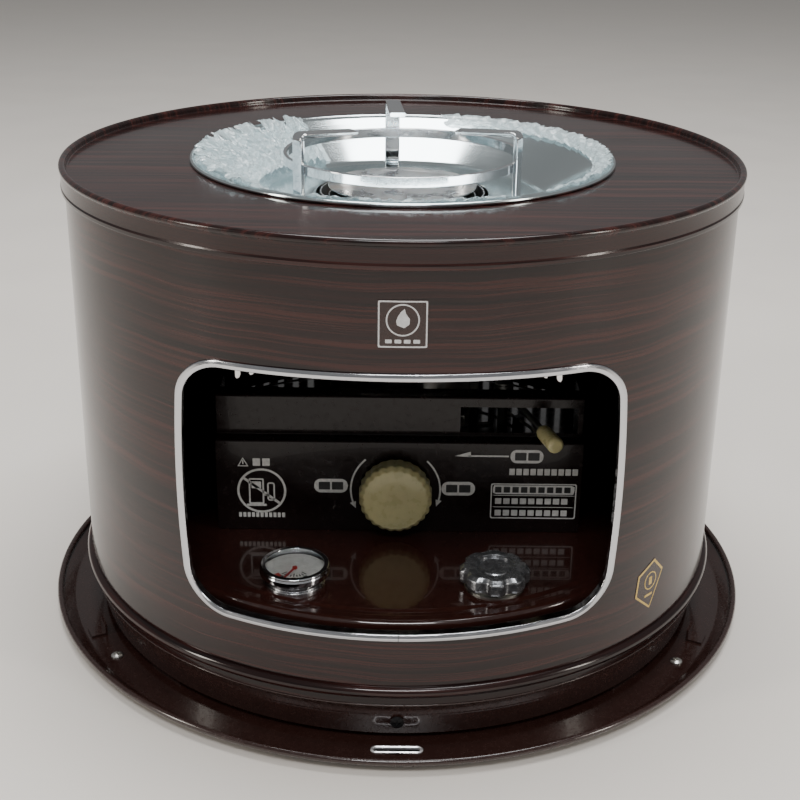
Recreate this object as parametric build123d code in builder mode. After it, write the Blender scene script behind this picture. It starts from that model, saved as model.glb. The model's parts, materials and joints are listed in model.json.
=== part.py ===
"""Round wick-type kerosene cooking stove on its spill tray, sizes in millimetres.

The origin is the centre of the tray's underside, +Z is up, and the window
with the controls faces -Y.
"""
from build123d import *
from math import cos, pi, radians, sin, sqrt
import os

os.makedirs("parts", exist_ok=True)

# Sheet metal and clearances
sheet = 1.0               # tray, skirt, casing, lid, tank and panel sheet
thin = 0.8                # bowl, burner tubes and heat shield sheet
gap = 0.3                 # air between pieces that move past each other
running = 0.06            # radial clearance of a pin or shaft in its bearing
press = 0.03              # radial clearance of a hub on its shaft

# Tray, skirt and casing
casing_r = 190.0
tray_margin = 23.0        # how far the tray's rolled rim stands out from the casing
tray_r = casing_r + tray_margin
tray_h = 9.0
rim_bead_r = 1.8
casing_foot_z = 26.0
casing_bead_z = 33.7
casing_bead_r = 3.2
lid_top_z = 270.0
lid_bead_r = 2.0
lid_recess = 4.0          # plate below the top of its bead
lid_skirt_h = 14.5
lid_skirt_z = lid_top_z - lid_skirt_h
skirt_inset = 2.5         # the skirt stands inside the casing
skirt_r = casing_r - skirt_inset
skirt_foot_r = skirt_r - 3.0
skirt_foot_z = 4.6
skirt_crease_z = 17.0

# Tank
tank_gap = 13.0           # air between tank and casing
tank_r = casing_r - tank_gap
tank_low_z = 26.0
tank_seam_z = 45.0
deck_z = 66.0             # upper face of the tank

# Window in the front of the casing, as seen straight on
window_half_w = 110.0
window_low_z = deck_z
window_high_z = 203.5
window_side_bow = 3.5
window_top_bow = 3.0
window_corner_r = 20.0
trim_face_w = 4.0         # width of the bright strip on the casing
trim_proud = 1.6
trim_lip = 1.6            # return of the strip inside the window

# Wick and its tubes
inner_tube_r = 32.0
inner_tube_low_z = 20.0
wick_tube_h = 49.0        # the tubes' height over the deck
wick_tube_top_z = deck_z + wick_tube_h
wick_t = 2.2
wick_air = 0.4            # between the inner tube and the wick
wick_r_in = inner_tube_r + wick_air
wick_r_out = wick_r_in + wick_t
wick_low_z = tank_low_z + 6.0
wick_high_z = wick_tube_top_z - 5.0
wick_travel = 12.0
carrier_t = 0.5
carrier_r_in = wick_r_out + gap
carrier_r_out = carrier_r_in + carrier_t
outer_tube_air = 0.6      # between the carrier and the outer tube
outer_tube_r_in = carrier_r_out + outer_tube_air

# Burner
burner_r_in = inner_tube_r + 15.0
flame_gap = 5.0           # from the outer flame tube out to the shell
flame_tube_r_in = burner_r_in - flame_gap
inner_flame_r_in = 26.0
bowl_depth = 27.0         # from the lid's top to the bowl's floor
bowl_floor_z = lid_top_z - bowl_depth
burner_top_z = bowl_floor_z + 3.0
disc_r = flame_tube_r_in + 1.0
disc_z = burner_top_z + 3.0
shield_r = burner_r_in + 13.0
shield_high_z = bowl_floor_z - 5.0

# Bowl and pot support
lid_hole_r = 116.0
bowl_overlap = 5.5        # of the bowl's rolled rim over the lid's hole
bowl_rim_r = lid_hole_r + bowl_overlap
bowl_floor_r = 82.0
bowl_hole_r = burner_r_in + 3.0
support_r = 68.7          # outside of the ring band
support_h = 17.0          # the pot's seat over the lid's top
support_top_z = lid_top_z + support_h
strap_w = 9.0
strap_t = 2.5
strap_bend_r = 4.0
arm_end_r = 34.0
arm_drop = 2.0
band_t = 2.2
band_h = 5.7
band_high_z = lid_top_z - 0.7
band_low_z = band_high_z - band_h
support_turn = -5.2       # the support stands turned a little in its bowl

# Control panel, knob and lever
panel_y = -(inner_tube_r + 48.0)           # front face
panel_half_w = 103.0
panel_ledge_z = deck_z + 56.0
panel_high_z = panel_ledge_z + 24.0
shield_low_z = panel_high_z + 4.0
panel_step = 8.0
panel_return = 40.0
slot_x = (34.0, 100.0)
slot_z = (panel_ledge_z + 2.5, panel_ledge_z + 18.0)
knob_x = -2.0
knob_z = deck_z + 26.0
knob_r = 20.7
knob_len = 14.5
shaft_r = 3.0
module = 0.8
pinion_teeth = 15
pinion_w = 4.5
pivot_x = inner_tube_r + 30.0
pivot_y = -20.0
lever_z = panel_ledge_z + 9.0
lever_len = 87.0
lever_angle = -75.0       # direction of the arm at rest, from +X
sleeve_r = 4.6
sleeve_len = 20.5
igniter_angle = 192.1
igniter_reach = 25.0

# Gauge and filler on the tank
gauge_x = -55.0
gauge_y = -(tank_r - 40.0)
gauge_r = 18.7
gauge_top_z = deck_z + 11.0
float_pivot_z = deck_z - 16.0
float_arm_len = 50.0
float_sink = -10.0        # degrees below level with the tank empty
cap_x = 51.0
cap_y = -(tank_r - 39.0)
cap_r = 18.7
cap_low_z = deck_z + 2.5
cap_top_z = cap_low_z + 9.0
cap_lobes = 8

# Battery box at the back
cell_r = 17.1
cell_h = 61.5
cell_x = 17.4
cell_y = casing_r - 24.0
case_wall = 1.2
door_half_w = 40.15
door_low_z = deck_z - 1.5
door_high_z = door_low_z + cell_h + 10.0
hinge_r = 1.2

pinion_r = module * pinion_teeth / 2
lid_plate_z = lid_top_z - lid_recess
shelf_z = casing_foot_z - sheet


def save(part, name):
    """Labels a finished piece and writes its STEP file."""
    part.label = name
    export_step(part, f"parts/{name}.step")


def tube(r_in, r_out, z_low, z_high):
    """A plain tube round the object's axis."""
    with BuildPart() as wall:
        with BuildSketch(Plane.XY.offset(z_low)):
            Circle(r_out)
            Circle(r_in, mode=Mode.SUBTRACT)
        extrude(amount=z_high - z_low)
    return wall.part


def post(x, y, radius, z_low, z_high):
    """A plain upright cylinder."""
    with BuildPart() as rod:
        with BuildSketch(Plane.XY.offset(z_low)):
            with Locations((x, y)):
                Circle(radius)
        extrude(amount=z_high - z_low)
    return rod.part


def block(x, y, z):
    """A box between the two ends given on each axis."""
    with BuildPart() as body:
        with BuildSketch(Plane.XY.offset(z[0])):
            with Locations(((x[0] + x[1]) / 2, (y[0] + y[1]) / 2)):
                Rectangle(x[1] - x[0], y[1] - y[0])
        extrude(amount=z[1] - z[0])
    return body.part


def turned(points):
    """A closed profile of (radius, height) points revolved about the axis."""
    with BuildPart() as body:
        with BuildSketch(Plane.XZ):
            with BuildLine():
                Polyline(*points, close=True)
            make_face()
        revolve(axis=Axis.Z)
    return body.part


def bead(radius, z, bead_r):
    """A rolled edge: a ring of round section about the axis."""
    with BuildPart() as ring:
        with BuildSketch(Plane.XZ):
            with Locations((radius, z)):
                Circle(bead_r)
        revolve(axis=Axis.Z)
    return ring.part


def around(azimuth, radius):
    """A point at a radius, by its angle from the front, towards +X."""
    return (radius * sin(radians(azimuth)), -radius * cos(radians(azimuth)))


def screw_plane(azimuth, radius, z):
    """A plane on the side of the stove, facing outwards."""
    x, y = around(azimuth, radius)
    return Plane(origin=(x, y, z), x_dir=(-y, x, 0), z_dir=(x, y, 0))


# --- Spill tray: a pressed round dish with a rolled rim, under the whole stove
tray_floor_r = tray_r - 10.0
slot_r = casing_r + 3.5
slot_len = 25.0
slot_w = 3.0
with BuildPart() as spill_tray:
    wall_r = tray_r - rim_bead_r
    add(turned([
        (0, 0), (tray_floor_r + 1, 0), (wall_r + 0.5, tray_h - 2 * rim_bead_r),
        (wall_r + 0.5, tray_h - rim_bead_r), (wall_r - 0.5, tray_h - rim_bead_r),
        (wall_r - 0.5, tray_h - 2 * rim_bead_r), (tray_floor_r, sheet), (0, sheet),
    ]))
    add(bead(wall_r, tray_h - rim_bead_r, rim_bead_r))
    with BuildSketch(Plane.XY.offset(sheet)):
        with Locations((0, -slot_r)):
            SlotOverall(slot_len + 3, slot_w + 3)
    extrude(amount=0.8)
    with BuildSketch(Plane.XY):
        with Locations((0, -slot_r)):
            SlotOverall(slot_len, slot_w)
    extrude(amount=4, mode=Mode.SUBTRACT)
save(spill_tray.part, "spill_tray")

# --- Clips that keep the stove from sliding on its tray
clip_azimuths = (-63.5, 63.5, 180)
clip_r = skirt_r + 3.5
with BuildPart() as tray_clips:
    for azimuth in clip_azimuths:
        with BuildSketch(screw_plane(azimuth, clip_r, sheet)):
            with Locations((0, 3.5)):
                Rectangle(10, 7)
        extrude(amount=1.2)
        with BuildSketch(Plane(origin=(*around(azimuth, clip_r), sheet),
                               x_dir=(cos(radians(azimuth)), sin(radians(azimuth)), 0),
                               z_dir=(0, 0, 1))):
            with Locations((0, -4.6)):
                Rectangle(10, 9.2)
        extrude(amount=1.2)
save(tray_clips.part, "tray_clips")

# --- Low round-head screws in the tray floor, beside the clips
with BuildPart() as tray_screws:
    for azimuth in (-55, 55, 168):
        x, y = around(azimuth, clip_r + 3.0)
        with Locations((x, y, sheet)):
            Cylinder(3.4, 0.8, align=(Align.CENTER, Align.CENTER, Align.MIN))
            Cylinder(2.6, 1.9, align=(Align.CENTER, Align.CENTER, Align.MIN))
save(tray_screws.part, "tray_screws")

# --- Skirt: the ring that carries tank and casing, on four short feet
skirt_feet = (45, 135, 225, 315)
screw_z = 14.0
screw_azimuths = (0, 120, 240)
shelf_in_r = tank_r - 27.0
with BuildPart() as base_skirt:
    add(turned([
        (skirt_foot_r - sheet, skirt_foot_z), (skirt_foot_r, skirt_foot_z),
        (skirt_r, skirt_crease_z), (skirt_r, shelf_z), (casing_r + 0.4, shelf_z),
        (casing_r + 0.4, casing_foot_z), (shelf_in_r, casing_foot_z),
        (shelf_in_r, shelf_z), (skirt_r - sheet, shelf_z),
        (skirt_r - sheet, skirt_crease_z),
    ]))
    for azimuth in skirt_feet:
        with BuildSketch(screw_plane(azimuth, skirt_foot_r - 4.0, sheet)):
            with Locations((0, (skirt_crease_z - sheet) / 2)):
                Rectangle(26, skirt_crease_z - sheet)
        extrude(amount=sheet)
        with BuildSketch(screw_plane(azimuth, skirt_foot_r - 4.0, skirt_crease_z - 2)):
            with Locations((0, 1)):
                Rectangle(26, 2)
        extrude(amount=5.6)
    for azimuth in screw_azimuths:
        with BuildSketch(screw_plane(azimuth, skirt_r - 6, screw_z)):
            Circle(1.8)
        extrude(amount=12, mode=Mode.SUBTRACT)
save(base_skirt.part, "base_skirt")

# --- Pan-head screws through the skirt
screw_seat_r = skirt_foot_r + (skirt_r - skirt_foot_r) * (
    (screw_z - skirt_foot_z) / (skirt_crease_z - skirt_foot_z))
with BuildPart() as skirt_screws:
    for azimuth in screw_azimuths:
        with BuildSketch(screw_plane(azimuth, screw_seat_r - 5.0, screw_z)):
            Circle(1.6)
        extrude(amount=5.9)
        with BuildSketch(screw_plane(azimuth, screw_seat_r + 0.9, screw_z)):
            Circle(3.4)
        extrude(amount=1.8, taper=12)
save(skirt_screws.part, "skirt_screws")

# --- Tank: a lower pan and an upper deck, joined at a flanged seam
flange_r = tank_r + 4.0
with BuildPart() as tank_bottom:
    add(turned([
        (inner_tube_r + 0.1, tank_low_z), (tank_r, tank_low_z),
        (tank_r, tank_seam_z - sheet), (flange_r, tank_seam_z - sheet),
        (flange_r, tank_seam_z), (tank_r - sheet, tank_seam_z),
        (tank_r - sheet, tank_low_z + sheet), (inner_tube_r + 0.1, tank_low_z + sheet),
    ]))
save(tank_bottom.part, "tank_bottom")

deck_hole_r = outer_tube_r_in + 1.0
deck_edge = 3.5
neck_r = 14.0             # the filler neck's outside
gauge_stem_hole_r = 3.0
with BuildPart() as tank_top:
    add(turned([
        (tank_r - sheet, tank_seam_z), (flange_r, tank_seam_z),
        (flange_r, tank_seam_z + sheet), (tank_r, tank_seam_z + sheet),
        (tank_r, deck_z - deck_edge), (tank_r - 1.0, deck_z - 1.0),
        (tank_r - deck_edge, deck_z), (deck_hole_r, deck_z),
        (deck_hole_r, deck_z - sheet), (tank_r - deck_edge - 0.4, deck_z - sheet),
        (tank_r - sheet, deck_z - deck_edge - 0.4),
    ]))
    with BuildSketch(Plane.XY.offset(deck_z - 2)):
        with Locations((cap_x, cap_y)):
            Circle(neck_r + 0.1)
        with Locations((gauge_x, gauge_y)):
            Circle(gauge_stem_hole_r)
    extrude(amount=4, mode=Mode.SUBTRACT)
save(tank_top.part, "tank_top")

# --- Wick tubes: the wick slides between them; the inner one brings the air
save(tube(inner_tube_r - sheet, inner_tube_r, inner_tube_low_z, wick_tube_top_z - 3),
     "inner_wick_tube")

outer_tube_r = outer_tube_r_in + sheet
collar_r = flame_tube_r_in + 3.0
collar_t = 2.0
tube_flange_r = outer_tube_r + 18.0
rack_x = knob_x - pinion_r
rack_depth = 3.5
rack_half_slot = 0.7
nut_r = tube_flange_r - 6.0
with BuildPart() as outer_wick_tube:
    add(tube(outer_tube_r_in, outer_tube_r, deck_z, wick_tube_top_z))
    add(tube(outer_tube_r_in, collar_r, wick_tube_top_z - collar_t, wick_tube_top_z))
    add(tube(outer_tube_r_in, tube_flange_r, deck_z, deck_z + 1.5))
    add(block((rack_x - rack_depth - rack_half_slot, rack_x - 0.9 + rack_half_slot),
              (-collar_r - 2, -outer_tube_r_in + 6),
              (deck_z + 8, wick_tube_top_z - 5)), mode=Mode.SUBTRACT)
    with BuildSketch(Plane.XY.offset(wick_tube_top_z - collar_t - 3)):
        with BuildLine():
            Polyline((30, -6), (52, -8), (46, -46), (26, -26), close=True)
        make_face()
        Circle(outer_tube_r_in - 1, mode=Mode.SUBTRACT)
    extrude(amount=10, mode=Mode.SUBTRACT)
save(outer_wick_tube.part, "outer_wick_tube")

with BuildPart() as collar_nuts:
    with BuildSketch(Plane.XY.offset(deck_z + 1.5)):
        with PolarLocations(nut_r, 4, 45):
            RegularPolygon(3.6, 6)
    extrude(amount=3)
    with BuildSketch(Plane.XY.offset(deck_z + 1.5)):
        with PolarLocations(nut_r, 4, 45):
            Circle(2.0)
    extrude(amount=5)
save(collar_nuts.part, "collar_nuts")

# --- Wick, and the carrier that grips it and bears the rack
save(tube(wick_r_in, wick_r_out, wick_low_z, wick_high_z), "wick")

pitch = pi * module
tooth_out = 0.7
tooth_in = 0.9
tooth_half = 0.45
tip_half = 0.28
root_half = 0.65
rack_low_z = knob_z - wick_travel - 4.0
rack_high_z = knob_z + 4.0
rack_y = (-outer_tube_r - 6.5, -outer_tube_r - 6.5 + pinion_w)
with BuildPart() as wick_carrier:
    add(tube(carrier_r_in, carrier_r_out, deck_z + 4, knob_z + 2))
    add(block((rack_x - rack_depth, rack_x - tooth_in), rack_y,
              (rack_low_z, rack_high_z)))
    add(block((rack_x - rack_depth, rack_x - rack_depth + 2),
              (rack_y[0], -sqrt(carrier_r_in**2 - (rack_x - rack_depth + 2)**2) - 0.02),
              (rack_low_z + 2, rack_high_z - 3)))
    tooth_count = int((rack_high_z - rack_low_z) / pitch)
    with BuildSketch(Plane(origin=(0, rack_y[1], 0), x_dir=(1, 0, 0), z_dir=(0, -1, 0))):
        for k in range(-tooth_count, 2):
            tooth_z = knob_z + (k + 0.5) * pitch
            if rack_low_z + root_half < tooth_z < rack_high_z - root_half:
                with BuildLine():
                    Polyline(
                        (rack_x - tooth_in - 0.1, tooth_z - root_half),
                        (rack_x + tooth_out, tooth_z - tip_half),
                        (rack_x + tooth_out, tooth_z + tip_half),
                        (rack_x - tooth_in - 0.1, tooth_z + root_half), close=True)
                make_face()
    extrude(amount=pinion_w)
save(wick_carrier.part, "wick_carrier")

# --- Knob, its shaft and the pinion that lifts the wick
knob_axis = Plane(origin=(knob_x, panel_y - gap, knob_z), x_dir=(1, 0, 0), z_dir=(0, -1, 0))
with BuildPart() as wick_knob:
    with BuildSketch(knob_axis):
        Circle(knob_r)
        with PolarLocations(knob_r + 0.9, 24):
            Circle(1.7, mode=Mode.SUBTRACT)
    extrude(amount=knob_len)
    chamfer(wick_knob.faces().sort_by(Axis.Y)[0].edges(), 0.5)
    with BuildSketch(knob_axis):
        Circle(shaft_r + press)
    extrude(amount=knob_len - 4, mode=Mode.SUBTRACT)
save(wick_knob.part, "wick_knob")

shaft_end_y = rack_y[1]
with BuildPart() as knob_shaft:
    with BuildSketch(knob_axis.offset(knob_len - 4.5)):
        Circle(shaft_r)
    extrude(amount=-(shaft_end_y - panel_y + gap + knob_len - 4.5))
save(knob_shaft.part, "knob_shaft")

pinion_plane = Plane(origin=(knob_x, rack_y[1], knob_z), x_dir=(1, 0, 0), z_dir=(0, -1, 0))
with BuildPart() as pinion:
    with BuildSketch(pinion_plane):
        Circle(pinion_r - tooth_in)
        for k in range(pinion_teeth):
            with BuildSketch(Rotation(0, 0, 180 + k * 360 / pinion_teeth), mode=Mode.PRIVATE) as tooth:
                with BuildLine():
                    Polyline(
                        (pinion_r - tooth_in - 0.3, -root_half),
                        (pinion_r + tooth_out, -tip_half),
                        (pinion_r + tooth_out, tip_half),
                        (pinion_r - tooth_in - 0.3, root_half), close=True)
                make_face()
            add(tooth.sketch)
        Circle(shaft_r + press, mode=Mode.SUBTRACT)
    extrude(amount=pinion_w)
save(pinion.part, "pinion")

# --- Bracket that bears the knob shaft behind the panel
bracket_y = (panel_y + 16.0, panel_y + 18.0)
with BuildPart() as shaft_bracket:
    add(block((knob_x - 12, knob_x + 12), bracket_y, (deck_z, knob_z + 12)))
    add(block((knob_x - 12, knob_x + 12), (bracket_y[1], bracket_y[1] + 5),
              (deck_z, deck_z + 1.5)))
    with BuildSketch(Plane(origin=(knob_x, bracket_y[1] + 1, knob_z), x_dir=(1, 0, 0),
                           z_dir=(0, -1, 0))):
        Circle(shaft_r + running)
    extrude(amount=6, mode=Mode.SUBTRACT)
save(shaft_bracket.part, "shaft_bracket")

# --- Control panel: folded sheet with a ledge, a lever slot and two side returns
panel_low_z = deck_z + 0.3
panel_in_y = panel_y + panel_step
with BuildPart() as control_panel:
    with BuildSketch(Plane.YZ.offset(-panel_half_w)):
        with BuildLine():
            Polyline(
                (panel_y, panel_low_z), (panel_y, panel_ledge_z),
                (panel_in_y, panel_ledge_z), (panel_in_y, panel_high_z),
                (panel_in_y + 12, panel_high_z), (panel_in_y + 12, panel_high_z - sheet),
                (panel_in_y + sheet, panel_high_z - sheet),
                (panel_in_y + sheet, panel_ledge_z - sheet),
                (panel_y + sheet, panel_ledge_z - sheet),
                (panel_y + sheet, panel_low_z), close=True)
        make_face()
    extrude(amount=2 * panel_half_w)
    for side in (-1, 1):
        x = sorted((side * panel_half_w, side * (panel_half_w - sheet)))
        add(block(x, (panel_y + sheet / 2, panel_y + panel_return),
                  (panel_low_z, panel_ledge_z - sheet / 2)))
        add(block(x, (panel_in_y + sheet / 2, panel_y + panel_return),
                  (panel_ledge_z - sheet, panel_high_z)))
    with BuildSketch(Plane(origin=(0, panel_in_y + 3, 0), x_dir=(1, 0, 0), z_dir=(0, -1, 0))):
        with Locations(((slot_x[0] + slot_x[1]) / 2, (slot_z[0] + slot_z[1]) / 2)):
            RectangleRounded(slot_x[1] - slot_x[0], slot_z[1] - slot_z[0], 3)
        with Locations((knob_x, knob_z)):
            Circle(shaft_r + 1.0)
    extrude(amount=14, mode=Mode.SUBTRACT)
save(control_panel.part, "control_panel")

with BuildPart() as panel_brackets:
    for side in (-1, 1):
        x_out = side * (panel_half_w - sheet)
        x_in = side * (panel_half_w - sheet - 1.5)
        x_far = side * (panel_half_w - sheet - 12)
        add(block(sorted((x_out, x_in)), (panel_y + 22, panel_y + 36), (deck_z, deck_z + 22)))
        add(block(sorted((x_in, x_far)), (panel_y + 22, panel_y + 36), (deck_z, deck_z + 1.5)))
save(panel_brackets.part, "panel_brackets")


# --- Outer casing: a rolled drum with a window, back louvres and a battery hatch
def window_slab(grow):
    """The window's outline moved out by grow, carried back through the front wall."""
    half_w = window_half_w + grow
    low_w = half_w - window_side_bow
    low = window_low_z - grow
    high = window_high_z + grow
    side_top = high - window_top_bow
    middle = (low + high) / 2
    with BuildPart() as slab:
        with BuildSketch(Plane.XZ.offset(casing_r + 20)) as face:
            with BuildLine():
                Line((-low_w, low), (low_w, low))
                ThreePointArc((low_w, low), (half_w, middle), (low_w, side_top))
                ThreePointArc((low_w, side_top), (0, high), (-low_w, side_top))
                ThreePointArc((-low_w, side_top), (-half_w, middle), (-low_w, low))
            make_face()
            fillet(face.vertices(), window_corner_r + grow)
        extrude(amount=-casing_r)
    return slab.part


vent_w = 5.0
vent_h = 46.0
vent_low_z = deck_z + 2.0
vent_azimuths = [side * (17 + 3.6 * k) for side in (-1, 1) for k in range(7)]
casing_top_z = lid_plate_z - sheet
hatch_gap = 0.5
with BuildPart() as outer_casing:
    add(tube(casing_r - sheet, casing_r, casing_foot_z, casing_top_z))
    with BuildSketch(Plane.XZ):
        with Locations((casing_r, casing_bead_z)):
            Circle(casing_bead_r)
        with Locations((casing_r - sheet / 2 - 10, casing_bead_z)):
            Rectangle(20, 12, mode=Mode.SUBTRACT)
    revolve(axis=Axis.Z)
    add(window_slab(0), mode=Mode.SUBTRACT)
    for azimuth in vent_azimuths:
        with BuildSketch(screw_plane(180 + azimuth, casing_r - 6, vent_low_z + vent_h / 2)):
            SlotOverall(vent_h, vent_w, rotation=90)
        extrude(amount=12, mode=Mode.SUBTRACT)
    hatch_half_w = door_half_w + hatch_gap
    add(block((-hatch_half_w, hatch_half_w), (casing_r - 16, casing_r + 4),
              (door_low_z - hatch_gap, door_high_z + hatch_gap)), mode=Mode.SUBTRACT)
save(outer_casing.part, "outer_casing")

# --- Bright strip round the window, bent to a C section and butted at the bottom
with BuildPart() as window_trim:
    add(tube(casing_r, casing_r + trim_proud, window_low_z - 20, window_high_z + 20))
    add(window_slab(trim_face_w - trim_lip), mode=Mode.INTERSECT)
    add(window_slab(-trim_lip), mode=Mode.SUBTRACT)
    with BuildPart(mode=Mode.PRIVATE) as lip:
        add(tube(casing_r - 4.0, casing_r + 0.5, window_low_z - 20, window_high_z + 20))
        add(window_slab(-0.05), mode=Mode.INTERSECT)
        add(window_slab(-trim_lip), mode=Mode.SUBTRACT)
    add(lip.part)
    add(block((-0.15, 0.15), (-casing_r - 5, -casing_r + 8),
              (window_low_z - 8, window_low_z + 8)), mode=Mode.SUBTRACT)
save(window_trim.part, "window_trim")


# --- Plates and labels on the casing
def curved_plate(azimuth, z, outline, thick):
    """An outline wrapped on the casing's side as a thin plate."""
    with BuildPart() as plate:
        with BuildSketch(screw_plane(azimuth, casing_r - 30, z)):
            add(outline)
        extrude(amount=45)
        add(tube(casing_r, casing_r + thick, z - 40, z + 40), mode=Mode.INTERSECT)
    return plate.part


badge_size = 23.0
with BuildSketch() as badge_shape:
    RectangleRounded(badge_size, badge_size, 1.0)
badge_z = (window_high_z + lid_plate_z - 9.5) / 2
save(curved_plate(0, badge_z, badge_shape.sketch, 0.35), "front_badge")

with BuildSketch() as label_shape:
    RectangleRounded(66, 50, 3)
save(curved_plate(-91, 180.5, label_shape.sketch, 0.2), "side_label")

with BuildSketch() as sticker_shape:
    with BuildLine():
        Polyline((-11.0, 9.0), (3.0, 15.5), (12.5, 6.0), (1.5, -15.5), (-12.5, -4.0), close=True)
    make_face()
save(curved_plate(45, window_low_z - 1.5, sticker_shape.sketch, 0.2), "inspection_sticker")

# --- Lid: the plate recessed inside a rolled bead, with a round hole for the bowl
lid_r = casing_r + 0.4
lid_bead_z = lid_top_z - lid_bead_r
hole_flange = 4.0
with BuildPart() as top_plate:
    add(turned([
        (lid_r, lid_skirt_z), (lid_r + 1.2, lid_skirt_z), (lid_r + 1.2, lid_bead_z),
        (lid_r - 0.6, lid_bead_z), (lid_r - 0.6, lid_plate_z),
        (lid_hole_r, lid_plate_z), (lid_hole_r, lid_plate_z - hole_flange),
        (lid_hole_r + sheet, lid_plate_z - hole_flange),
        (lid_hole_r + sheet, lid_plate_z - sheet), (lid_r, lid_plate_z - sheet),
    ]))
    add(bead(lid_r + 0.3, lid_bead_z, lid_bead_r))
save(top_plate.part, "top_plate")

# --- Bowl under the pot, lying loose on the lid by its rolled rim
bowl_roll = 1.2
bowl_roll_z = lid_plate_z + bowl_roll
bowl_seat_r = lid_hole_r - 0.8
lip_h = 2.4
with BuildPart() as drip_bowl:
    add(turned([
        (bowl_rim_r - bowl_roll, bowl_roll_z + thin / 2),
        (bowl_seat_r - 1, bowl_roll_z + thin / 2), (bowl_seat_r - 5, bowl_roll_z - 3),
        (bowl_floor_r + 2, bowl_floor_z + thin + 1), (bowl_floor_r, bowl_floor_z + thin),
        (bowl_hole_r + thin, bowl_floor_z + thin),
        (bowl_hole_r + thin, bowl_floor_z + lip_h), (bowl_hole_r, bowl_floor_z + lip_h),
        (bowl_hole_r, bowl_floor_z), (bowl_floor_r + 0.4, bowl_floor_z),
        (bowl_floor_r + 3, bowl_floor_z + 1), (bowl_seat_r - 4.2, bowl_roll_z - 3.4),
        (bowl_seat_r - 0.4, bowl_roll_z - thin / 2),
        (bowl_rim_r - bowl_roll, bowl_roll_z - thin / 2),
    ]))
    add(bead(bowl_rim_r - bowl_roll, bowl_roll_z, bowl_roll))
save(drip_bowl.part, "drip_bowl")

# --- Pot support: three bent straps welded to a flat ring band
save(tube(support_r - band_t, support_r, band_low_z, band_high_z), "pot_support_ring")

foot_z = bowl_floor_z + thin
with BuildPart() as pot_support_legs:
    for k in range(3):
        azimuth = 180 - support_turn + 120 * k
        out_x, out_y = around(azimuth, 1.0)
        strap_plane = Plane(origin=(0, 0, 0), x_dir=(out_x, out_y, 0),
                            z_dir=(out_y, -out_x, 0))
        with BuildSketch(strap_plane.offset(-strap_w / 2)):
            with BuildLine():
                outer_r = support_r + strap_t
                end_top = support_top_z - arm_drop
                FilletPolyline(
                    (support_r, foot_z), (outer_r, foot_z), (outer_r, support_top_z),
                    (arm_end_r, end_top), (arm_end_r, end_top - strap_t),
                    (support_r, support_top_z - strap_t),
                    radius=[0.01, 0.01, strap_bend_r, 0.3, 0.3, strap_bend_r - strap_t],
                    close=True)
            make_face()
        extrude(amount=strap_w)
save(pot_support_legs.part, "pot_support_legs")

# --- Burner: three upright tubes on cross pins, with a disc over the flame
pin_r = 1.2
pin_low_z = wick_tube_top_z + 13.0
pin_step = 3.0
tube_foot_z = wick_tube_top_z


def pin_rods(radius, half_len):
    """The two crossed pins as solids, or their holes when made larger."""
    with BuildPart() as rods:
        with BuildSketch(Plane.YZ.offset(-half_len)):
            with Locations((0, pin_low_z)):
                Circle(radius)
        extrude(amount=2 * half_len)
        with BuildSketch(Plane.XZ.offset(-half_len)):
            with Locations((0, pin_low_z + pin_step)):
                Circle(radius)
        extrude(amount=2 * half_len)
    return rods.part


pin_holes = pin_rods(pin_r + 0.1, burner_r_in + 5)
save(pin_rods(pin_r, burner_r_in + thin), "burner_cross_pins")
for name, r_in, z_low, z_high in (
    ("burner_shell", burner_r_in, tube_foot_z + 2, burner_top_z),
    ("outer_flame_tube", flame_tube_r_in, tube_foot_z, burner_top_z - 2),
    ("inner_flame_tube", inner_flame_r_in, tube_foot_z, disc_z),
):
    with BuildPart() as flame_tube:
        add(tube(r_in, r_in + thin, z_low, z_high))
        add(pin_holes, mode=Mode.SUBTRACT)
    save(flame_tube.part, name)

with BuildPart() as burner_top_disc:
    with BuildSketch(Plane.XY.offset(disc_z)):
        Circle(disc_r)
    extrude(amount=sheet)
    with BuildSketch(Plane.XY.offset(disc_z + sheet)):
        Rectangle(6, 5)
    extrude(amount=3)
save(burner_top_disc.part, "burner_top_disc")

# --- Heat shield round the burner, on four strap legs
with BuildPart() as heat_shield:
    add(tube(shield_r, shield_r + thin, shield_low_z, shield_high_z))
    with BuildSketch(Plane.XY.offset(deck_z)):
        with PolarLocations(shield_r + thin / 2, 4, 45):
            Rectangle(thin, 8)
    extrude(amount=shield_low_z - deck_z + 5)
save(heat_shield.part, "heat_shield")

# --- Ignition lever on its pivot post, with the glow coil on its short end
boss_r = 6.0
boss_half_h = 2.5
lever_dir = Vector(cos(radians(lever_angle)), sin(radians(lever_angle)), 0)
pivot = Vector(pivot_x, pivot_y, lever_z)
terminal_y = pivot_y + 8.0
with BuildPart() as lever_bracket:
    add(block((pivot_x - 5, pivot_x + 12), (pivot_y - 8, pivot_y + 14),
              (deck_z, deck_z + 1.5)))
    add(post(pivot_x, pivot_y, 3.0, deck_z + 1.5, lever_z + 4))
    add(post(pivot_x, pivot_y, 5.0, lever_z - boss_half_h - 6, lever_z - boss_half_h - gap))
    add(post(pivot_x, pivot_y, 5.0, lever_z + boss_half_h + gap, lever_z + boss_half_h + 1.5))
    add(block((pivot_x, pivot_x + 8), (terminal_y, terminal_y + 5),
              (deck_z + 1.5, deck_z + 9)))
save(lever_bracket.part, "lever_bracket")

lever_plane = Plane(origin=pivot, x_dir=(0, 0, 1), z_dir=lever_dir)
with BuildPart() as lever_arm:
    add(post(pivot_x, pivot_y, boss_r, lever_z - boss_half_h, lever_z + boss_half_h))
    with BuildSketch(lever_plane.offset(boss_r - 1.5)):
        Circle(2.0)
    extrude(amount=lever_len - boss_r + 1.5 - 3.0)
    add(post(pivot_x, pivot_y, 3.0 + running, lever_z - 10, lever_z + 10), mode=Mode.SUBTRACT)
save(lever_arm.part, "lever_arm")

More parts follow.
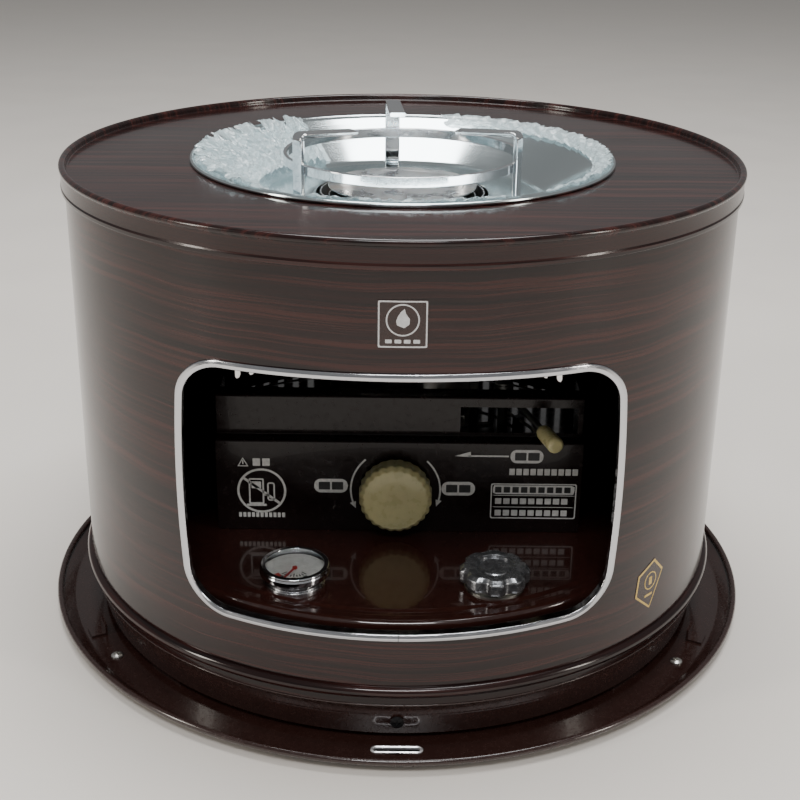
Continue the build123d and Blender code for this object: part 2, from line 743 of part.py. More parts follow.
with BuildPart() as lever_knob:
    with BuildSketch(lever_plane.offset(lever_len - sleeve_len)):
        Circle(sleeve_r)
    extrude(amount=sleeve_len)
    fillet(lever_knob.edges().sort_by(Axis.Y)[0], 1.5)
    with BuildSketch(lever_plane.offset(lever_len - sleeve_len)):
        Circle(2.0 + press)
    extrude(amount=sleeve_len - 3.0 + 0.05, mode=Mode.SUBTRACT)
save(lever_knob.part, "lever_knob")

coil_z = wick_tube_top_z - 2.3
igniter_dir = Vector(cos(radians(igniter_angle)), sin(radians(igniter_angle)), 0)
igniter_side = Vector(-igniter_dir.Y, igniter_dir.X, 0)
holder_plane = Plane(origin=(pivot_x, pivot_y, 0), x_dir=igniter_dir, z_dir=(0, 0, 1))
holder_low_z = coil_z - 6.0
with BuildPart() as igniter_holder:
    with BuildSketch(holder_plane.offset(holder_low_z)):
        with Locations((7.0, 0)):
            Rectangle(1.6, 6)
    extrude(amount=lever_z - boss_half_h - holder_low_z - 0.1)
    with BuildSketch(holder_plane.offset(lever_z - boss_half_h - 1.6)):
        with Locations((6.9, 0)):
            Rectangle(3.2, 6)
    extrude(amount=1.6)
    with BuildSketch(holder_plane.offset(holder_low_z)):
        with Locations(((6.2 + igniter_reach) / 2, 0)):
            Rectangle(igniter_reach - 6.2, 4)
        with Locations((igniter_reach, 0)):
            Circle(2.6)
    extrude(amount=2.0)
save(igniter_holder.part, "igniter_holder")

with BuildPart() as glow_coil:
    coil_x = pivot_x + igniter_reach * igniter_dir.X
    coil_y = pivot_y + igniter_reach * igniter_dir.Y
    add(post(coil_x, coil_y, 1.5, holder_low_z + 2.0, coil_z + 1.6))
    for k in range(3):
        add(post(coil_x, coil_y, 1.8, holder_low_z + 3.0 + 1.5 * k, holder_low_z + 3.8 + 1.5 * k))
save(glow_coil.part, "glow_coil")

# --- Fuel gauge: a drum on the deck, with dial, needle and lens under a bezel
gauge_seat_z = deck_z + 6.0
dial_z = gauge_seat_z + 0.6
lens_t = 1.1
lens_low_z = gauge_top_z - 0.9 - lens_t
with BuildPart() as gauge_housing:
    add(post(gauge_x, gauge_y, gauge_r - 3.7, deck_z, gauge_seat_z))
    add(post(gauge_x, gauge_y, gauge_r - 1.6, gauge_seat_z - 1.2, gauge_seat_z))
    add(post(gauge_x, gauge_y, gauge_stem_hole_r - 1.0, deck_z - 1, gauge_seat_z + 1),
        mode=Mode.SUBTRACT)
save(gauge_housing.part, "gauge_housing")

with BuildPart() as gauge_bezel:
    add(post(gauge_x, gauge_y, gauge_r, gauge_seat_z, gauge_top_z))
    add(post(gauge_x, gauge_y, gauge_r - 1.5, gauge_seat_z - 1, gauge_top_z - 0.8),
        mode=Mode.SUBTRACT)
    add(post(gauge_x, gauge_y, gauge_r - 2.6, gauge_top_z - 2, gauge_top_z + 1),
        mode=Mode.SUBTRACT)
save(gauge_bezel.part, "gauge_bezel")

with BuildPart() as gauge_dial:
    add(post(gauge_x, gauge_y, gauge_r - 2.2, gauge_seat_z, dial_z))
    add(post(gauge_x, gauge_y, gauge_stem_hole_r - 1.5, gauge_seat_z - 1, dial_z + 1),
        mode=Mode.SUBTRACT)
save(gauge_dial.part, "gauge_dial")

save(post(gauge_x, gauge_y, gauge_r - 1.6, lens_low_z, lens_low_z + lens_t), "gauge_lens")

needle_len = 12.0
needle_angle = 245.0      # empty: the needle points to the front left
needle_z = dial_z + 0.5
with BuildPart() as gauge_needle:
    add(post(gauge_x, gauge_y, 0.8, float_pivot_z + 4, needle_z + 0.8))
    add(post(gauge_x, gauge_y, 1.3, needle_z, needle_z + 0.8))
    with BuildSketch(Plane(origin=(gauge_x, gauge_y, needle_z),
                           x_dir=(cos(radians(needle_angle)), sin(radians(needle_angle)), 0),
                           z_dir=(0, 0, 1))):
        with Locations((needle_len / 2, 0)):
            Rectangle(needle_len, 1.0)
    extrude(amount=0.5)
save(gauge_needle.part, "gauge_needle")

# --- Float on its arm inside the tank, hung from a bracket under the deck
float_y = gauge_y
hanger_x = gauge_x + 6.0
arm_rise = radians(float_sink)
with BuildPart() as float_bracket:
    for side in (-1, 1):
        y = sorted((float_y + side * 3.0, float_y + side * 4.5))
        add(block((hanger_x - 4, hanger_x + 4), y, (float_pivot_z - 4, deck_z - sheet)))
    add(block((hanger_x - 4, hanger_x + 4), (float_y - 4.5, float_y + 4.5),
              (deck_z - sheet - 1.2, deck_z - sheet)))
    with BuildSketch(Plane.XZ.offset(-float_y + 6)):
        with Locations((hanger_x, float_pivot_z)):
            Circle(1.0 + running)
    extrude(amount=-12, mode=Mode.SUBTRACT)
save(float_bracket.part, "float_bracket")

arm_dir = Vector(cos(arm_rise), 0, sin(arm_rise))
with BuildPart() as float_arm:
    with BuildSketch(Plane.XZ.offset(-float_y + 5)):
        with Locations((hanger_x, float_pivot_z)):
            Circle(1.0)
    extrude(amount=-10)
    with BuildSketch(Plane.XZ.offset(-float_y + 2)):
        with Locations((hanger_x, float_pivot_z)):
            Circle(2.2)
    extrude(amount=-4)
    with BuildSketch(Plane(origin=(hanger_x, float_y, float_pivot_z), x_dir=(0, 1, 0),
                           z_dir=arm_dir)):
        Circle(0.9)
    extrude(amount=float_arm_len)
save(float_arm.part, "float_arm")

float_len = 26.0
with BuildPart() as fuel_float:
    with BuildSketch(Plane(origin=(hanger_x, float_y, float_pivot_z), x_dir=(0, 1, 0),
                           z_dir=arm_dir).offset(float_arm_len - 2)):
        RectangleRounded(22, 10, 3)
    extrude(amount=float_len)
    with BuildSketch(Plane(origin=(hanger_x, float_y, float_pivot_z), x_dir=(0, 1, 0),
                           z_dir=arm_dir).offset(float_arm_len - 2)):
        Circle(0.9 + press)
    extrude(amount=2.1, mode=Mode.SUBTRACT)
save(fuel_float.part, "fuel_float")

# --- Filler neck, its rubber seal and the lobed screw cap
cap_wall = 2.0
neck_top_z = cap_top_z - cap_wall - 1.0
seal_t = 0.9
with BuildPart() as filler_neck:
    add(post(cap_x, cap_y, neck_r, deck_z - 8, neck_top_z))
    add(post(cap_x, cap_y, neck_r + 2.0, deck_z, deck_z + 1.0))
    add(post(cap_x, cap_y, neck_r - 1.5, deck_z - 9, neck_top_z + 1), mode=Mode.SUBTRACT)
save(filler_neck.part, "filler_neck")

save(post(cap_x, cap_y, neck_r + 0.6, neck_top_z, neck_top_z + seal_t), "cap_seal")

with BuildPart() as fuel_cap:
    with BuildSketch(Plane.XY.offset(cap_low_z)):
        with Locations((cap_x, cap_y)):
            Circle(cap_r)
            with PolarLocations(cap_r + 4.0, cap_lobes, 22.5):
                Circle(6.0, mode=Mode.SUBTRACT)
    extrude(amount=cap_top_z - cap_low_z)
    fillet(fuel_cap.faces().sort_by(Axis.Z)[-1].edges(), 0.8)
    add(post(cap_x, cap_y, neck_r + 0.9, cap_low_z - 1, cap_top_z - cap_wall),
        mode=Mode.SUBTRACT)
    add(post(cap_x, cap_y, 10.0, cap_top_z - 1.2, cap_top_z + 1), mode=Mode.SUBTRACT)
save(fuel_cap.part, "fuel_cap")

# --- Battery case behind the hatch, with its two cells and their contacts
case_half_w = cell_x + cell_r + 1.3 + case_wall
case_front_y = cell_y - cell_r - 0.4 - case_wall
case_back_y = cell_y + cell_r + 0.7
case_high_z = deck_z + case_wall + cell_h + 4.6
cell_low_z = deck_z + case_wall + 2.0
with BuildPart() as battery_case:
    add(block((-case_half_w, case_half_w), (case_front_y, case_back_y),
              (deck_z, case_high_z)))
    add(block((-case_half_w + case_wall, case_half_w - case_wall),
              (case_front_y + case_wall, case_back_y + 1),
              (deck_z + case_wall, case_high_z - case_wall)), mode=Mode.SUBTRACT)
save(battery_case.part, "battery_case")

with BuildPart() as battery_cells:
    for side in (-1, 1):
        add(post(side * cell_x, cell_y, cell_r, cell_low_z, cell_low_z + cell_h - 1.5))
        add(post(side * cell_x, cell_y, 4.5, cell_low_z + cell_h - 2, cell_low_z + cell_h))
save(battery_cells.part, "battery_cells")

with BuildPart() as battery_contacts:
    for side in (-1, 1):
        add(post(side * cell_x, cell_y, 7.0, deck_z + case_wall, cell_low_z))
        add(block((side * cell_x - 5, side * cell_x + 5), (cell_y - 5, cell_y + 5),
                  (cell_low_z + cell_h, case_high_z - case_wall)))
save(battery_contacts.part, "battery_contacts")

hinge_y = casing_r + 2.2
hinge_z = door_low_z - 0.2
barrel_half = 12.0
lug_x = (13.0, 17.5)      # the hinge lugs, either side of the barrel
notch_h = 4.5             # cut in the door so that it clears the lugs
with BuildPart() as battery_door:
    add(tube(casing_r - sheet, casing_r, door_low_z, door_high_z))
    add(block((-door_half_w, door_half_w), (casing_r - 20, casing_r + 5),
              (door_low_z - 1, door_high_z + 1)), mode=Mode.INTERSECT)
    for side in (-1, 1):
        x = sorted((side * (barrel_half + gap), side * (lug_x[1] + 1.0)))
        add(block(x, (casing_r - 6, casing_r + 1), (door_low_z - 1, door_low_z + notch_h)),
            mode=Mode.SUBTRACT)
    add(block((-barrel_half, barrel_half), (casing_r - 0.6, hinge_y),
              (door_low_z, door_low_z + 2.5)))
    with BuildSketch(Plane.YZ.offset(-barrel_half)):
        with Locations((hinge_y, hinge_z + 0.6)):
            Circle(1.9)
    extrude(amount=2 * barrel_half)
    with BuildSketch(Plane.YZ.offset(-18)):
        with Locations((hinge_y, hinge_z + 0.6)):
            Circle(hinge_r)
    extrude(amount=36)
    add(block((-9, 9), (casing_r - 0.6, casing_r + 3.0), (door_high_z - 7, door_high_z - 3)))
save(battery_door.part, "battery_door")

with BuildPart() as door_hinge:
    for side in (-1, 1):
        x = sorted((side * lug_x[0], side * lug_x[1]))
        y_skin = sqrt(casing_r**2 - lug_x[0]**2)
        add(block(x, (y_skin + 0.02, hinge_y + 2.4), (hinge_z - 6, hinge_z + 3)))
    with BuildSketch(Plane.YZ.offset(-20)):
        with Locations((hinge_y, hinge_z + 0.6)):
            Circle(hinge_r + running)
    extrude(amount=40, mode=Mode.SUBTRACT)
save(door_hinge.part, "door_hinge")

# --- Igniter lead from the battery case to the lever bracket, held by clips
lead_r = 1.1
lead_z = deck_z + 4.0
lead_points = (
    (30, case_front_y - 0.02, lead_z), (30, case_front_y - 23.3, lead_z), (70, 95, lead_z),
    (93, 52, lead_z), (88, 14, lead_z), (pivot_x + 4, terminal_y + 5.02 + 12, lead_z),
    (pivot_x + 4, terminal_y + 5.02, lead_z),
)
with BuildPart() as igniter_lead:
    with BuildLine() as lead_path:
        FilletPolyline(*lead_points, radius=[14, 30, 40, 30, 6])
    with BuildSketch(Plane(origin=lead_path.line @ 0, z_dir=lead_path.line % 0)):
        Circle(lead_r)
    sweep()
save(igniter_lead.part, "igniter_lead")

with BuildPart() as lead_clips:
    for start, end in (((70, 95), (93, 52)), ((93, 52), (88, 14))):
        x = (start[0] + end[0]) / 2
        y = (start[1] + end[1]) / 2
        direction = (end[0] - start[0], end[1] - start[1], 0)
        with BuildSketch(Plane(origin=(x, y, deck_z), x_dir=direction, z_dir=(0, 0, 1))):
            Rectangle(5, 6)
        extrude(amount=lead_z - deck_z + 2.4)
        with BuildSketch(Plane(origin=(x, y, lead_z), z_dir=direction).offset(-5)):
            Circle(lead_r + 0.05)
        extrude(amount=10, mode=Mode.SUBTRACT)
save(lead_clips.part, "lead_clips")

# --- Earthquake shut-off: a weight hung so that it swings when the stove is jolted
quake_x = -92.0
quake_y = -22.0
quake_pin_z = deck_z + 46.0
weight_r = 9.0
with BuildPart() as quake_bracket:
    add(block((quake_x - 10, quake_x + 10), (quake_y + 12, quake_y + 13.5),
              (deck_z, quake_pin_z + 4)))
    add(block((quake_x - 10, quake_x + 10), (quake_y + 4, quake_y + 13),
              (deck_z, deck_z + 1.5)))
    with BuildSketch(Plane.XZ.offset(-quake_y - 13)):
        with Locations((quake_x, quake_pin_z)):
            Circle(1.5)
    extrude(amount=16)
save(quake_bracket.part, "quake_bracket")

with BuildPart() as quake_weight:
    with BuildSketch(Plane.XZ.offset(-quake_y - 2)):
        with Locations((quake_x, quake_pin_z)):
            Circle(3.5)
    extrude(amount=4)
    with BuildSketch(Plane.XY.offset(quake_pin_z - 24)):
        with Locations((quake_x, quake_y)):
            Rectangle(4, 2)
    extrude(amount=22)
    add(post(quake_x, quake_y, weight_r, quake_pin_z - 40, quake_pin_z - 22))
    with BuildSketch(Plane.XZ.offset(-quake_y - 6)):
        with Locations((quake_x, quake_pin_z)):
            Circle(1.5 + running)
    extrude(amount=12, mode=Mode.SUBTRACT)
save(quake_weight.part, "quake_weight")
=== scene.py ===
import json
from math import cos, pi, radians, sin, tan

import bmesh
import bpy
import numpy as np
from mathutils import Matrix, Vector


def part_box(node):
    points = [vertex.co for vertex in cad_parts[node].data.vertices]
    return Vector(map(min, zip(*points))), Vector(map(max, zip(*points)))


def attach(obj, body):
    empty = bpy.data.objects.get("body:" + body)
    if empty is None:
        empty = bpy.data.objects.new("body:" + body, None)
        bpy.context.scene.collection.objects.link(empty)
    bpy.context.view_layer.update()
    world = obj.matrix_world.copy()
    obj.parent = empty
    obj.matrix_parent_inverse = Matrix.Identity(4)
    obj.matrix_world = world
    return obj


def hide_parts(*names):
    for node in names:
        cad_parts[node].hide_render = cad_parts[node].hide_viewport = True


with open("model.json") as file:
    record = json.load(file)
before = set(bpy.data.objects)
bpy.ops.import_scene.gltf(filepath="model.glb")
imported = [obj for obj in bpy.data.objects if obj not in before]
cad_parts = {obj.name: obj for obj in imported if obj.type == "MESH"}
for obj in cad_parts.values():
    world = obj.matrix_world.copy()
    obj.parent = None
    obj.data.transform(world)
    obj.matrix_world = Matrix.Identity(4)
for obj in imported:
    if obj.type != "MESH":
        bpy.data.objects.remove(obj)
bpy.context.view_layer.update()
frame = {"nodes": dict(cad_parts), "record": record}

# --- Studio ---------------------------------------------------------------------
# The camera stands in front and a little above, and looks down on the lid.
# The floor is a plain pale board that isn't part of the stove.
mm = 0.001
camera_azimuth = -0.31
camera_back = 748.0
camera_height = 425.5
camera_pitch = 20.87
camera_roll = 0.78

lens = bpy.data.cameras.new("camera")
lens.lens = 59.04
lens.shift_y = -0.05
lens.clip_end = 50
camera = bpy.data.objects.new("camera", lens)
bpy.context.scene.collection.objects.link(camera)
bpy.context.scene.camera = camera
turn = Matrix.Rotation(radians(camera_azimuth), 4, "Z")
tilt = Matrix.Rotation(radians(90 - camera_pitch), 4, "X")
roll = Matrix.Rotation(radians(camera_roll), 4, "Z")
stand = Matrix.Translation((0, -camera_back * mm, camera_height * mm))
camera.matrix_world = turn @ stand @ tilt @ roll


def finish(name, **sockets):
    """A new material and its shader, whose own sockets take the values given."""
    material = bpy.data.materials.new(name)
    material.use_nodes = True
    shader = material.node_tree.nodes["Principled BSDF"]
    for socket, value in sockets.items():
        shader.inputs[socket.replace("_", " ")].default_value = value
    return material, shader


def step(material, kind, inputs=(), **settings):
    """One more node in a material; each input is a value or another node's output."""
    node = material.node_tree.nodes.new("ShaderNode" + kind)
    for key, value in settings.items():
        setattr(node, key, value)
    for key, value in dict(inputs).items():
        if isinstance(value, bpy.types.NodeSocket):
            material.node_tree.links.new(value, node.inputs[key])
        else:
            node.inputs[key].default_value = value
    return node


def noise_on(material, scale, stretch=(1, 1, 1), detail=4.0):
    """Noise on object coordinates, per metre, and its strength as an output."""
    place = step(material, "TexCoord").outputs["Object"]
    drawn = step(material, "Mapping", {"Vector": place, "Scale": stretch})
    noise = step(material, "TexNoise",
                 {"Vector": drawn.outputs[0], "Scale": scale, "Detail": detail})
    return noise.outputs[0]


def spread(material, value, low, high, start=0.3, end=0.7):
    """Carries a value between start and end to between low and high."""
    ranged = step(material, "MapRange", {"Value": value, "From Min": start, "From Max": end,
                                         "To Min": low, "To Max": high})
    return ranged.outputs[0]


def tinted(material, shader, value, *stops):
    """Colours the shader by a value through (position, colour) stops."""
    ramp = step(material, "ValToRGB", {"Fac": value})
    band = ramp.color_ramp
    while len(band.elements) < len(stops):
        band.elements.new(0.5)
    for element, (position, colour) in zip(band.elements, stops):
        element.position = position
        element.color = (*colour, 1)
    material.node_tree.links.new(ramp.outputs["Color"], shader.inputs["Base Color"])


def worn(material, shader, scale, roughness, relief=0.0, stretch=(1, 1, 1), detail=4.0):
    """Roughness that wanders between two values, and a relief as deep as given, in mm."""
    value = noise_on(material, scale, stretch, detail)
    links = material.node_tree.links
    links.new(spread(material, value, *roughness), shader.inputs["Roughness"])
    if relief:
        bump = step(material, "Bump", {"Height": value, "Strength": 1.0,
                                       "Distance": relief * mm})
        links.new(bump.outputs[0], shader.inputs["Normal"])
    return value



def aged(name, scale, roughness, *stops, relief=0.0, detail=4.0, **sockets):
    """A material whose wear, a noise of that scale, carries both roughness and colour."""
    material, shader = finish(name, **sockets)
    wear = worn(material, shader, scale, roughness, relief=relief, detail=detail)
    tinted(material, shader, wear, *stops)
    return material


floor_half = 8.0
floor_mesh = bpy.data.meshes.new("floor")
floor_mesh.from_pydata([(-floor_half, -floor_half, 0), (floor_half, -floor_half, 0),
                        (floor_half, floor_half, 0), (-floor_half, floor_half, 0)],
                       [], [(0, 1, 2, 3)])
floor = bpy.data.objects.new("floor", floor_mesh)
bpy.context.scene.collection.objects.link(floor)
floor_paint, floor_shader = finish("floor_paint", Base_Color=(0.74, 0.70, 0.65, 1))
worn(floor_paint, floor_shader, 9, (0.55, 0.75))
floor_mesh.materials.append(floor_paint)

world = bpy.data.worlds.new("studio")
world.use_nodes = True
world.node_tree.nodes["Background"].inputs["Color"].default_value = (0.80, 0.80, 0.80, 1)
world.node_tree.nodes["Background"].inputs["Strength"].default_value = 0.30
bpy.context.scene.world = world


def softbox(name, place, target, size, power, tint=(1, 1, 1)):
    """A rectangular area lamp of size (width, height) in metres, aimed at a point."""
    lamp = bpy.data.lights.new(name, "AREA")
    lamp.shape = "RECTANGLE"
    lamp.size, lamp.size_y = size
    lamp.energy = power
    lamp.color = tint
    box = bpy.data.objects.new(name, lamp)
    bpy.context.scene.collection.objects.link(box)
    aim = (Vector(target) - Vector(place)).to_track_quat("-Z", "Y").to_matrix().to_4x4()
    box.matrix_world = Matrix.Translation(place) @ aim


softbox("overhead", (0.1, 0.2, 2.2), (0, 0, 0.2), (1.5, 0.9), 52)
softbox("left_window", (-1.7, -0.75, 0.75), (0, 0, 0.15), (0.22, 0.8), 11, (1.0, 0.93, 0.84))
softbox("right_window", (1.7, -0.95, 0.75), (0, 0, 0.15), (0.2, 0.8), 10, (1.0, 0.93, 0.84))
softbox("front_card", (0.0, -2.0, 2.6), (0, 0, 0.1), (1.2, 0.5), 44)

# --- Spill tray -----------------------------------------------------------------
# A round dish pressed from steel sheet and enamelled brown, its rim rolled over a
# wire. A slot with a plated edge is let into its floor at the front.


def reach(*nodes):
    """Lowest and highest corner of CAD nodes together, in mm."""
    corners = np.array([[list(corner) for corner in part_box(node)] for node in nodes]) / mm
    return corners[:, 0].min(axis=0), corners[:, 1].max(axis=0)


def quads(rows, columns, wrap_rows, wrap_columns):
    """One face for each four neighbours of a grid whose points run row by row."""
    i, j = np.meshgrid(np.arange(rows - (not wrap_rows)),
                       np.arange(columns - (not wrap_columns)), indexing="ij")
    after_i, after_j = (i + 1) % rows, (j + 1) % columns
    corners = (i * columns + j, after_i * columns + j,
               after_i * columns + after_j, i * columns + after_j)
    return np.stack(corners, axis=-1).reshape(-1, 4)


def shaded(mesh, sharp):
    """Smooth shading, broken at edges sharper than an angle in degrees."""
    mesh.shade_smooth()
    mesh.set_sharp_from_angle(angle=radians(sharp))


def welded(mesh):
    """Merges points that coincide, which closes seams and poles."""
    work = bmesh.new()
    work.from_mesh(mesh)
    bmesh.ops.remove_doubles(work, verts=work.verts, dist=1e-6)
    bmesh.ops.delete(work, geom=[e for e in work.edges if not e.link_faces], context="EDGES")
    work.to_mesh(mesh)
    work.free()


def piece(name, body, slot, paint, *grids, stands_for=(), wall=0.0, sharp=35, across=None):
    """One piece of the stove from grids of points in mm, each (points, wraps in rows,
    wraps in columns). A wall gives a sheet that thickness, inwards. Across is a function
    of the points that says how far, in mm, each lies across the print's grain."""
    corners = [points.reshape(-1, 3) for points, *wraps in grids]
    starts = np.cumsum([0] + [len(c) for c in corners])
    faces = [quads(*points.shape[:2], *wraps) + start
             for (points, *wraps), start in zip(grids, starts)]
    mesh = bpy.data.meshes.new(name)
    mesh.from_pydata((np.concatenate(corners) * mm).tolist(), [], np.concatenate(faces).tolist())
    welded(mesh)
    made = bpy.data.objects.new(name, mesh)
    bpy.context.scene.collection.objects.link(made)
    if wall:
        shell = made.modifiers.new("wall", "SOLIDIFY")
        shell.thickness = wall * mm
        shell.offset = -1
        solid = made.evaluated_get(bpy.context.evaluated_depsgraph_get())
        made.data = bpy.data.meshes.new_from_object(solid)
        made.modifiers.clear()
        made.data.name = name
    shaded(made.data, sharp)
    if across:
        where = np.zeros(3 * len(made.data.vertices), np.float32)
        made.data.vertices.foreach_get("co", where)
        grain = made.data.attributes.new("across", "FLOAT", "POINT")
        grain.data.foreach_set("value",
                               (across(where.reshape(-1, 3) / mm) * mm).astype(np.float32))
    made.data.materials.clear()
    made.data.materials.append(paint)
    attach(made, body)
    if stands_for:
        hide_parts(*stands_for)
    return made


def arc(centre, radius, start, end, count):
    """Points on a circle from one angle to another, in degrees."""
    angle = np.radians(np.linspace(start, end, count))
    return np.stack([centre[0] + radius * np.cos(angle), centre[1] + radius * np.sin(angle)], -1)


def rounded(corners, closed=True, steps=5, hold=0.25):
    """A path through (x, y, radius) corners. Each corner with a radius is an arc that
    touches both its sides, with a point beside each end that keeps the flats flat."""
    path = []
    for k, (x, y, radius) in enumerate(corners):
        here = np.array([x, y], float)
        if radius == 0 or not closed and k in (0, len(corners) - 1):
            path.append(here[None])
            continue
        before = here - np.array(corners[k - 1][:2], float)
        after = np.array(corners[(k + 1) % len(corners)][:2], float) - here
        come, go = before / np.linalg.norm(before), after / np.linalg.norm(after)
        bend = np.arctan2(come[0] * go[1] - come[1] * go[0], come @ go)
        reach_back = min(radius * abs(tan(bend / 2)), 0.45 * np.linalg.norm(before),
                         0.45 * np.linalg.norm(after))
        true_radius = reach_back / abs(tan(bend / 2))
        side = np.sign(bend) * np.array([-come[1], come[0]])
        angle = np.linspace(0, abs(bend), steps + 1)[:, None]
        start = here - come * reach_back
        bow = start + true_radius * (np.sin(angle) * come + (1 - np.cos(angle)) * side)
        beside = min(hold, 0.04 * np.linalg.norm(before), 0.04 * np.linalg.norm(after))
        path.append(np.concatenate([[start - come * beside], bow,
                                    [bow[-1] + go * beside]]))
    return np.concatenate(path)


def revolved(profile, turns=180, centre=(0, 0)):
    """A profile of (radius, height) carried round an upright axis: at angle a from the
    front, x is radius times sin a and y is minus radius times cos a."""
    angle = np.linspace(0, 2 * pi, turns, endpoint=False)[:, None]
    radius, height = profile[:, 0], profile[:, 1]
    return np.stack([centre[0] + radius * np.sin(angle), centre[1] - radius * np.cos(angle),
                     np.broadcast_to(height, (turns, len(height)))], -1)


def outline_patch(inner, outer, steps):
    """The band between two loops of equally many points: straight lines from each
    inner point to its outer one, divided evenly."""
    share = np.linspace(0, 1, steps + 1)[None, :, None]
    return inner[:, None] * (1 - share) + outer[:, None] * share


def box_loop(columns, rows):
    """The edge of a grid, anticlockwise from its lower left corner."""
    left, right, low, high = columns[0], columns[-1], rows[0], rows[-1]
    return np.concatenate([
        np.stack([columns[:-1], np.full(len(columns) - 1, low)], -1),
        np.stack([np.full(len(rows) - 1, right), rows[:-1]], -1),
        np.stack([columns[:0:-1], np.full(len(columns) - 1, high)], -1),
        np.stack([np.full(len(rows) - 1, left), rows[:0:-1]], -1)])


def ray_loop(outline, loop):
    """For each point of a loop round the outline's middle, the outline's point on the
    line from that middle to it."""
    middle = (outline.max(axis=0) + outline.min(axis=0)) / 2
    angle = np.arctan2(*(outline - middle).T[::-1])
    order = np.argsort(angle)
    radius = np.linalg.norm(outline - middle, axis=1)[order]
    towards = np.arctan2(*(loop - middle).T[::-1])
    length = np.interp(towards, angle[order], radius, period=2 * pi)
    return middle + length[:, None] * np.stack([np.cos(towards), np.sin(towards)], -1)


def smoothed(outline):
    """The outline without points that repeat the one before."""
    apart = np.linalg.norm(np.diff(outline, axis=0), axis=1) > 1e-6
    return outline[np.r_[True, apart]]


def enamel(name, colour, roughness):
    """Baked enamel: a dark even coat with faint orange peel, dust and dull patches."""
    material, shader = finish(name, Coat_Weight=0.5, Coat_Roughness=0.06)
    value = worn(material, shader, 420, roughness, relief=0.012, detail=2)
    dust = noise_on(material, 90, detail=8)
    mixed = step(material, "Math", {0: value, 1: dust}, operation="MULTIPLY").outputs[0]
    bright = tuple(1.25 * c + 0.001 for c in colour)
    tinted(material, shader, mixed, (0.1, colour), (0.42, bright))
    return material


brown_enamel = enamel("brown_enamel", (0.021, 0.0085, 0.0068), (0.16, 0.30))
tray_high = reach("spill_tray")[1]
tray_r = tray_high[0]
tray_h = tray_high[2]
tray_sheet = 1.0
rim_r = 1.8
tray_floor_r = tray_r - 10.0
rim_x, rim_z = tray_r - rim_r, tray_h - rim_r
slot_radius = 193.5
slot_half_turn = 6.0
slot_low_r, slot_high_r = 188.5, 198.5
plate_rows = np.linspace(slot_low_r, slot_high_r, 9)
plate_turn = np.concatenate([np.linspace(-slot_half_turn, slot_half_turn, 41),
                             np.linspace(slot_half_turn, 360 - slot_half_turn, 233)[1:-1]])


def around(turn, radius, height):
    """Points by their angle from the front in degrees, radius and height."""
    angle = np.radians(turn)
    return np.stack(np.broadcast_arrays(radius * np.sin(angle), -radius * np.cos(angle),
                                        height), -1).astype(float)


def level(flat, height):
    """Carries (angle, radius) points on to a level plane."""
    return around(flat[..., 0], flat[..., 1], height)


def slot_outline(length, width, radius):
    """A slot with round ends in (angle, radius), lying along a circle of that radius."""
    half = (length - width) / 2
    ends = np.concatenate([arc((half, 0), width / 2, -90, 90, 17),
                           arc((-half, 0), width / 2, 90, 270, 17)])
    return np.stack([np.degrees(ends[:, 0] / radius), radius + ends[:, 1]], -1)


slot_hole = slot_outline(24.0, 3.0, slot_radius)
front_turns = plate_turn[:41]
round_slot = box_loop(front_turns, plate_rows)
floor_top = np.linspace(0, slot_low_r, 8)
tray_rim = np.concatenate([
    rounded([(tray_floor_r + 1, 0, 0), (tray_floor_r + 1.2, 0, 0.0),
             (rim_x + 0.5, rim_z - rim_r, 0.6), (rim_x + 0.5, rim_z - rim_r + 0.2, 0)],
            closed=False),
    arc((rim_x, rim_z), rim_r, -65, 245, 33),
    rounded([(rim_x - 0.9, rim_z - rim_r + 0.1, 0), (rim_x - 1.4, rim_z - rim_r - 0.6, 1.2),
             (tray_floor_r - 0.4, tray_sheet, 3.0), (slot_high_r, tray_sheet, 0)],
            closed=False)])
tray_grids = [
    (around(plate_turn[:, None], tray_rim[:, 0], tray_rim[:, 1]), True, False),
    (around(np.arange(0, 361, 9)[::-1, None] * 1.0, np.array([0, tray_floor_r + 1]), 0.0),
     False, False)]
rest_turns = plate_turn[np.r_[40:len(plate_turn), 0]]
tray_grids += [
    (level(np.stack(np.meshgrid(rest_turns, plate_rows[::-1], indexing="ij"), -1), tray_sheet),
     False, False),
    (around(plate_turn[:, None], floor_top[::-1], tray_sheet), True, False),
    (level(outline_patch(ray_loop(slot_hole, round_slot), round_slot, 4)[::-1], tray_sheet),
     True, False)]
piece("tray", "base", "brown_enamel", brown_enamel, *tray_grids, stands_for=["spill_tray"])

slot_edge_h = 0.8
edge_outer = slot_outline(27.0, 5.6, slot_radius)
edge_inner = slot_outline(24.0, 3.0, slot_radius)
bright_edge, bright_edge_shader = finish("bright_edge", Base_Color=(0.78, 0.78, 0.80, 1),
                                         Metallic=0.75)
worn(bright_edge, bright_edge_shader, 300, (0.22, 0.4), relief=0.01)
edge_loops = [(edge_outer, tray_sheet), (edge_outer, tray_sheet + 0.5 * slot_edge_h),
              ((2 * edge_outer + edge_inner) / 3, tray_sheet + slot_edge_h),
              ((edge_outer + 2 * edge_inner) / 3, tray_sheet + slot_edge_h),
              (edge_inner, tray_sheet + 0.5 * slot_edge_h), (edge_inner, 0.2)]
edge_grid = np.stack([level(loop, height) for loop, height in edge_loops], 1)
piece("tray_slot_edge", "base", "bright_trim", bright_edge, (edge_grid, True, True))

# --- Screws and clips on the tray and skirt ---------------------------------------
# Low pan-head screws, black round the skirt and plated in the tray, each with a cross
# for the driver; the clips beside them are bent from the tray's own enamelled strip.


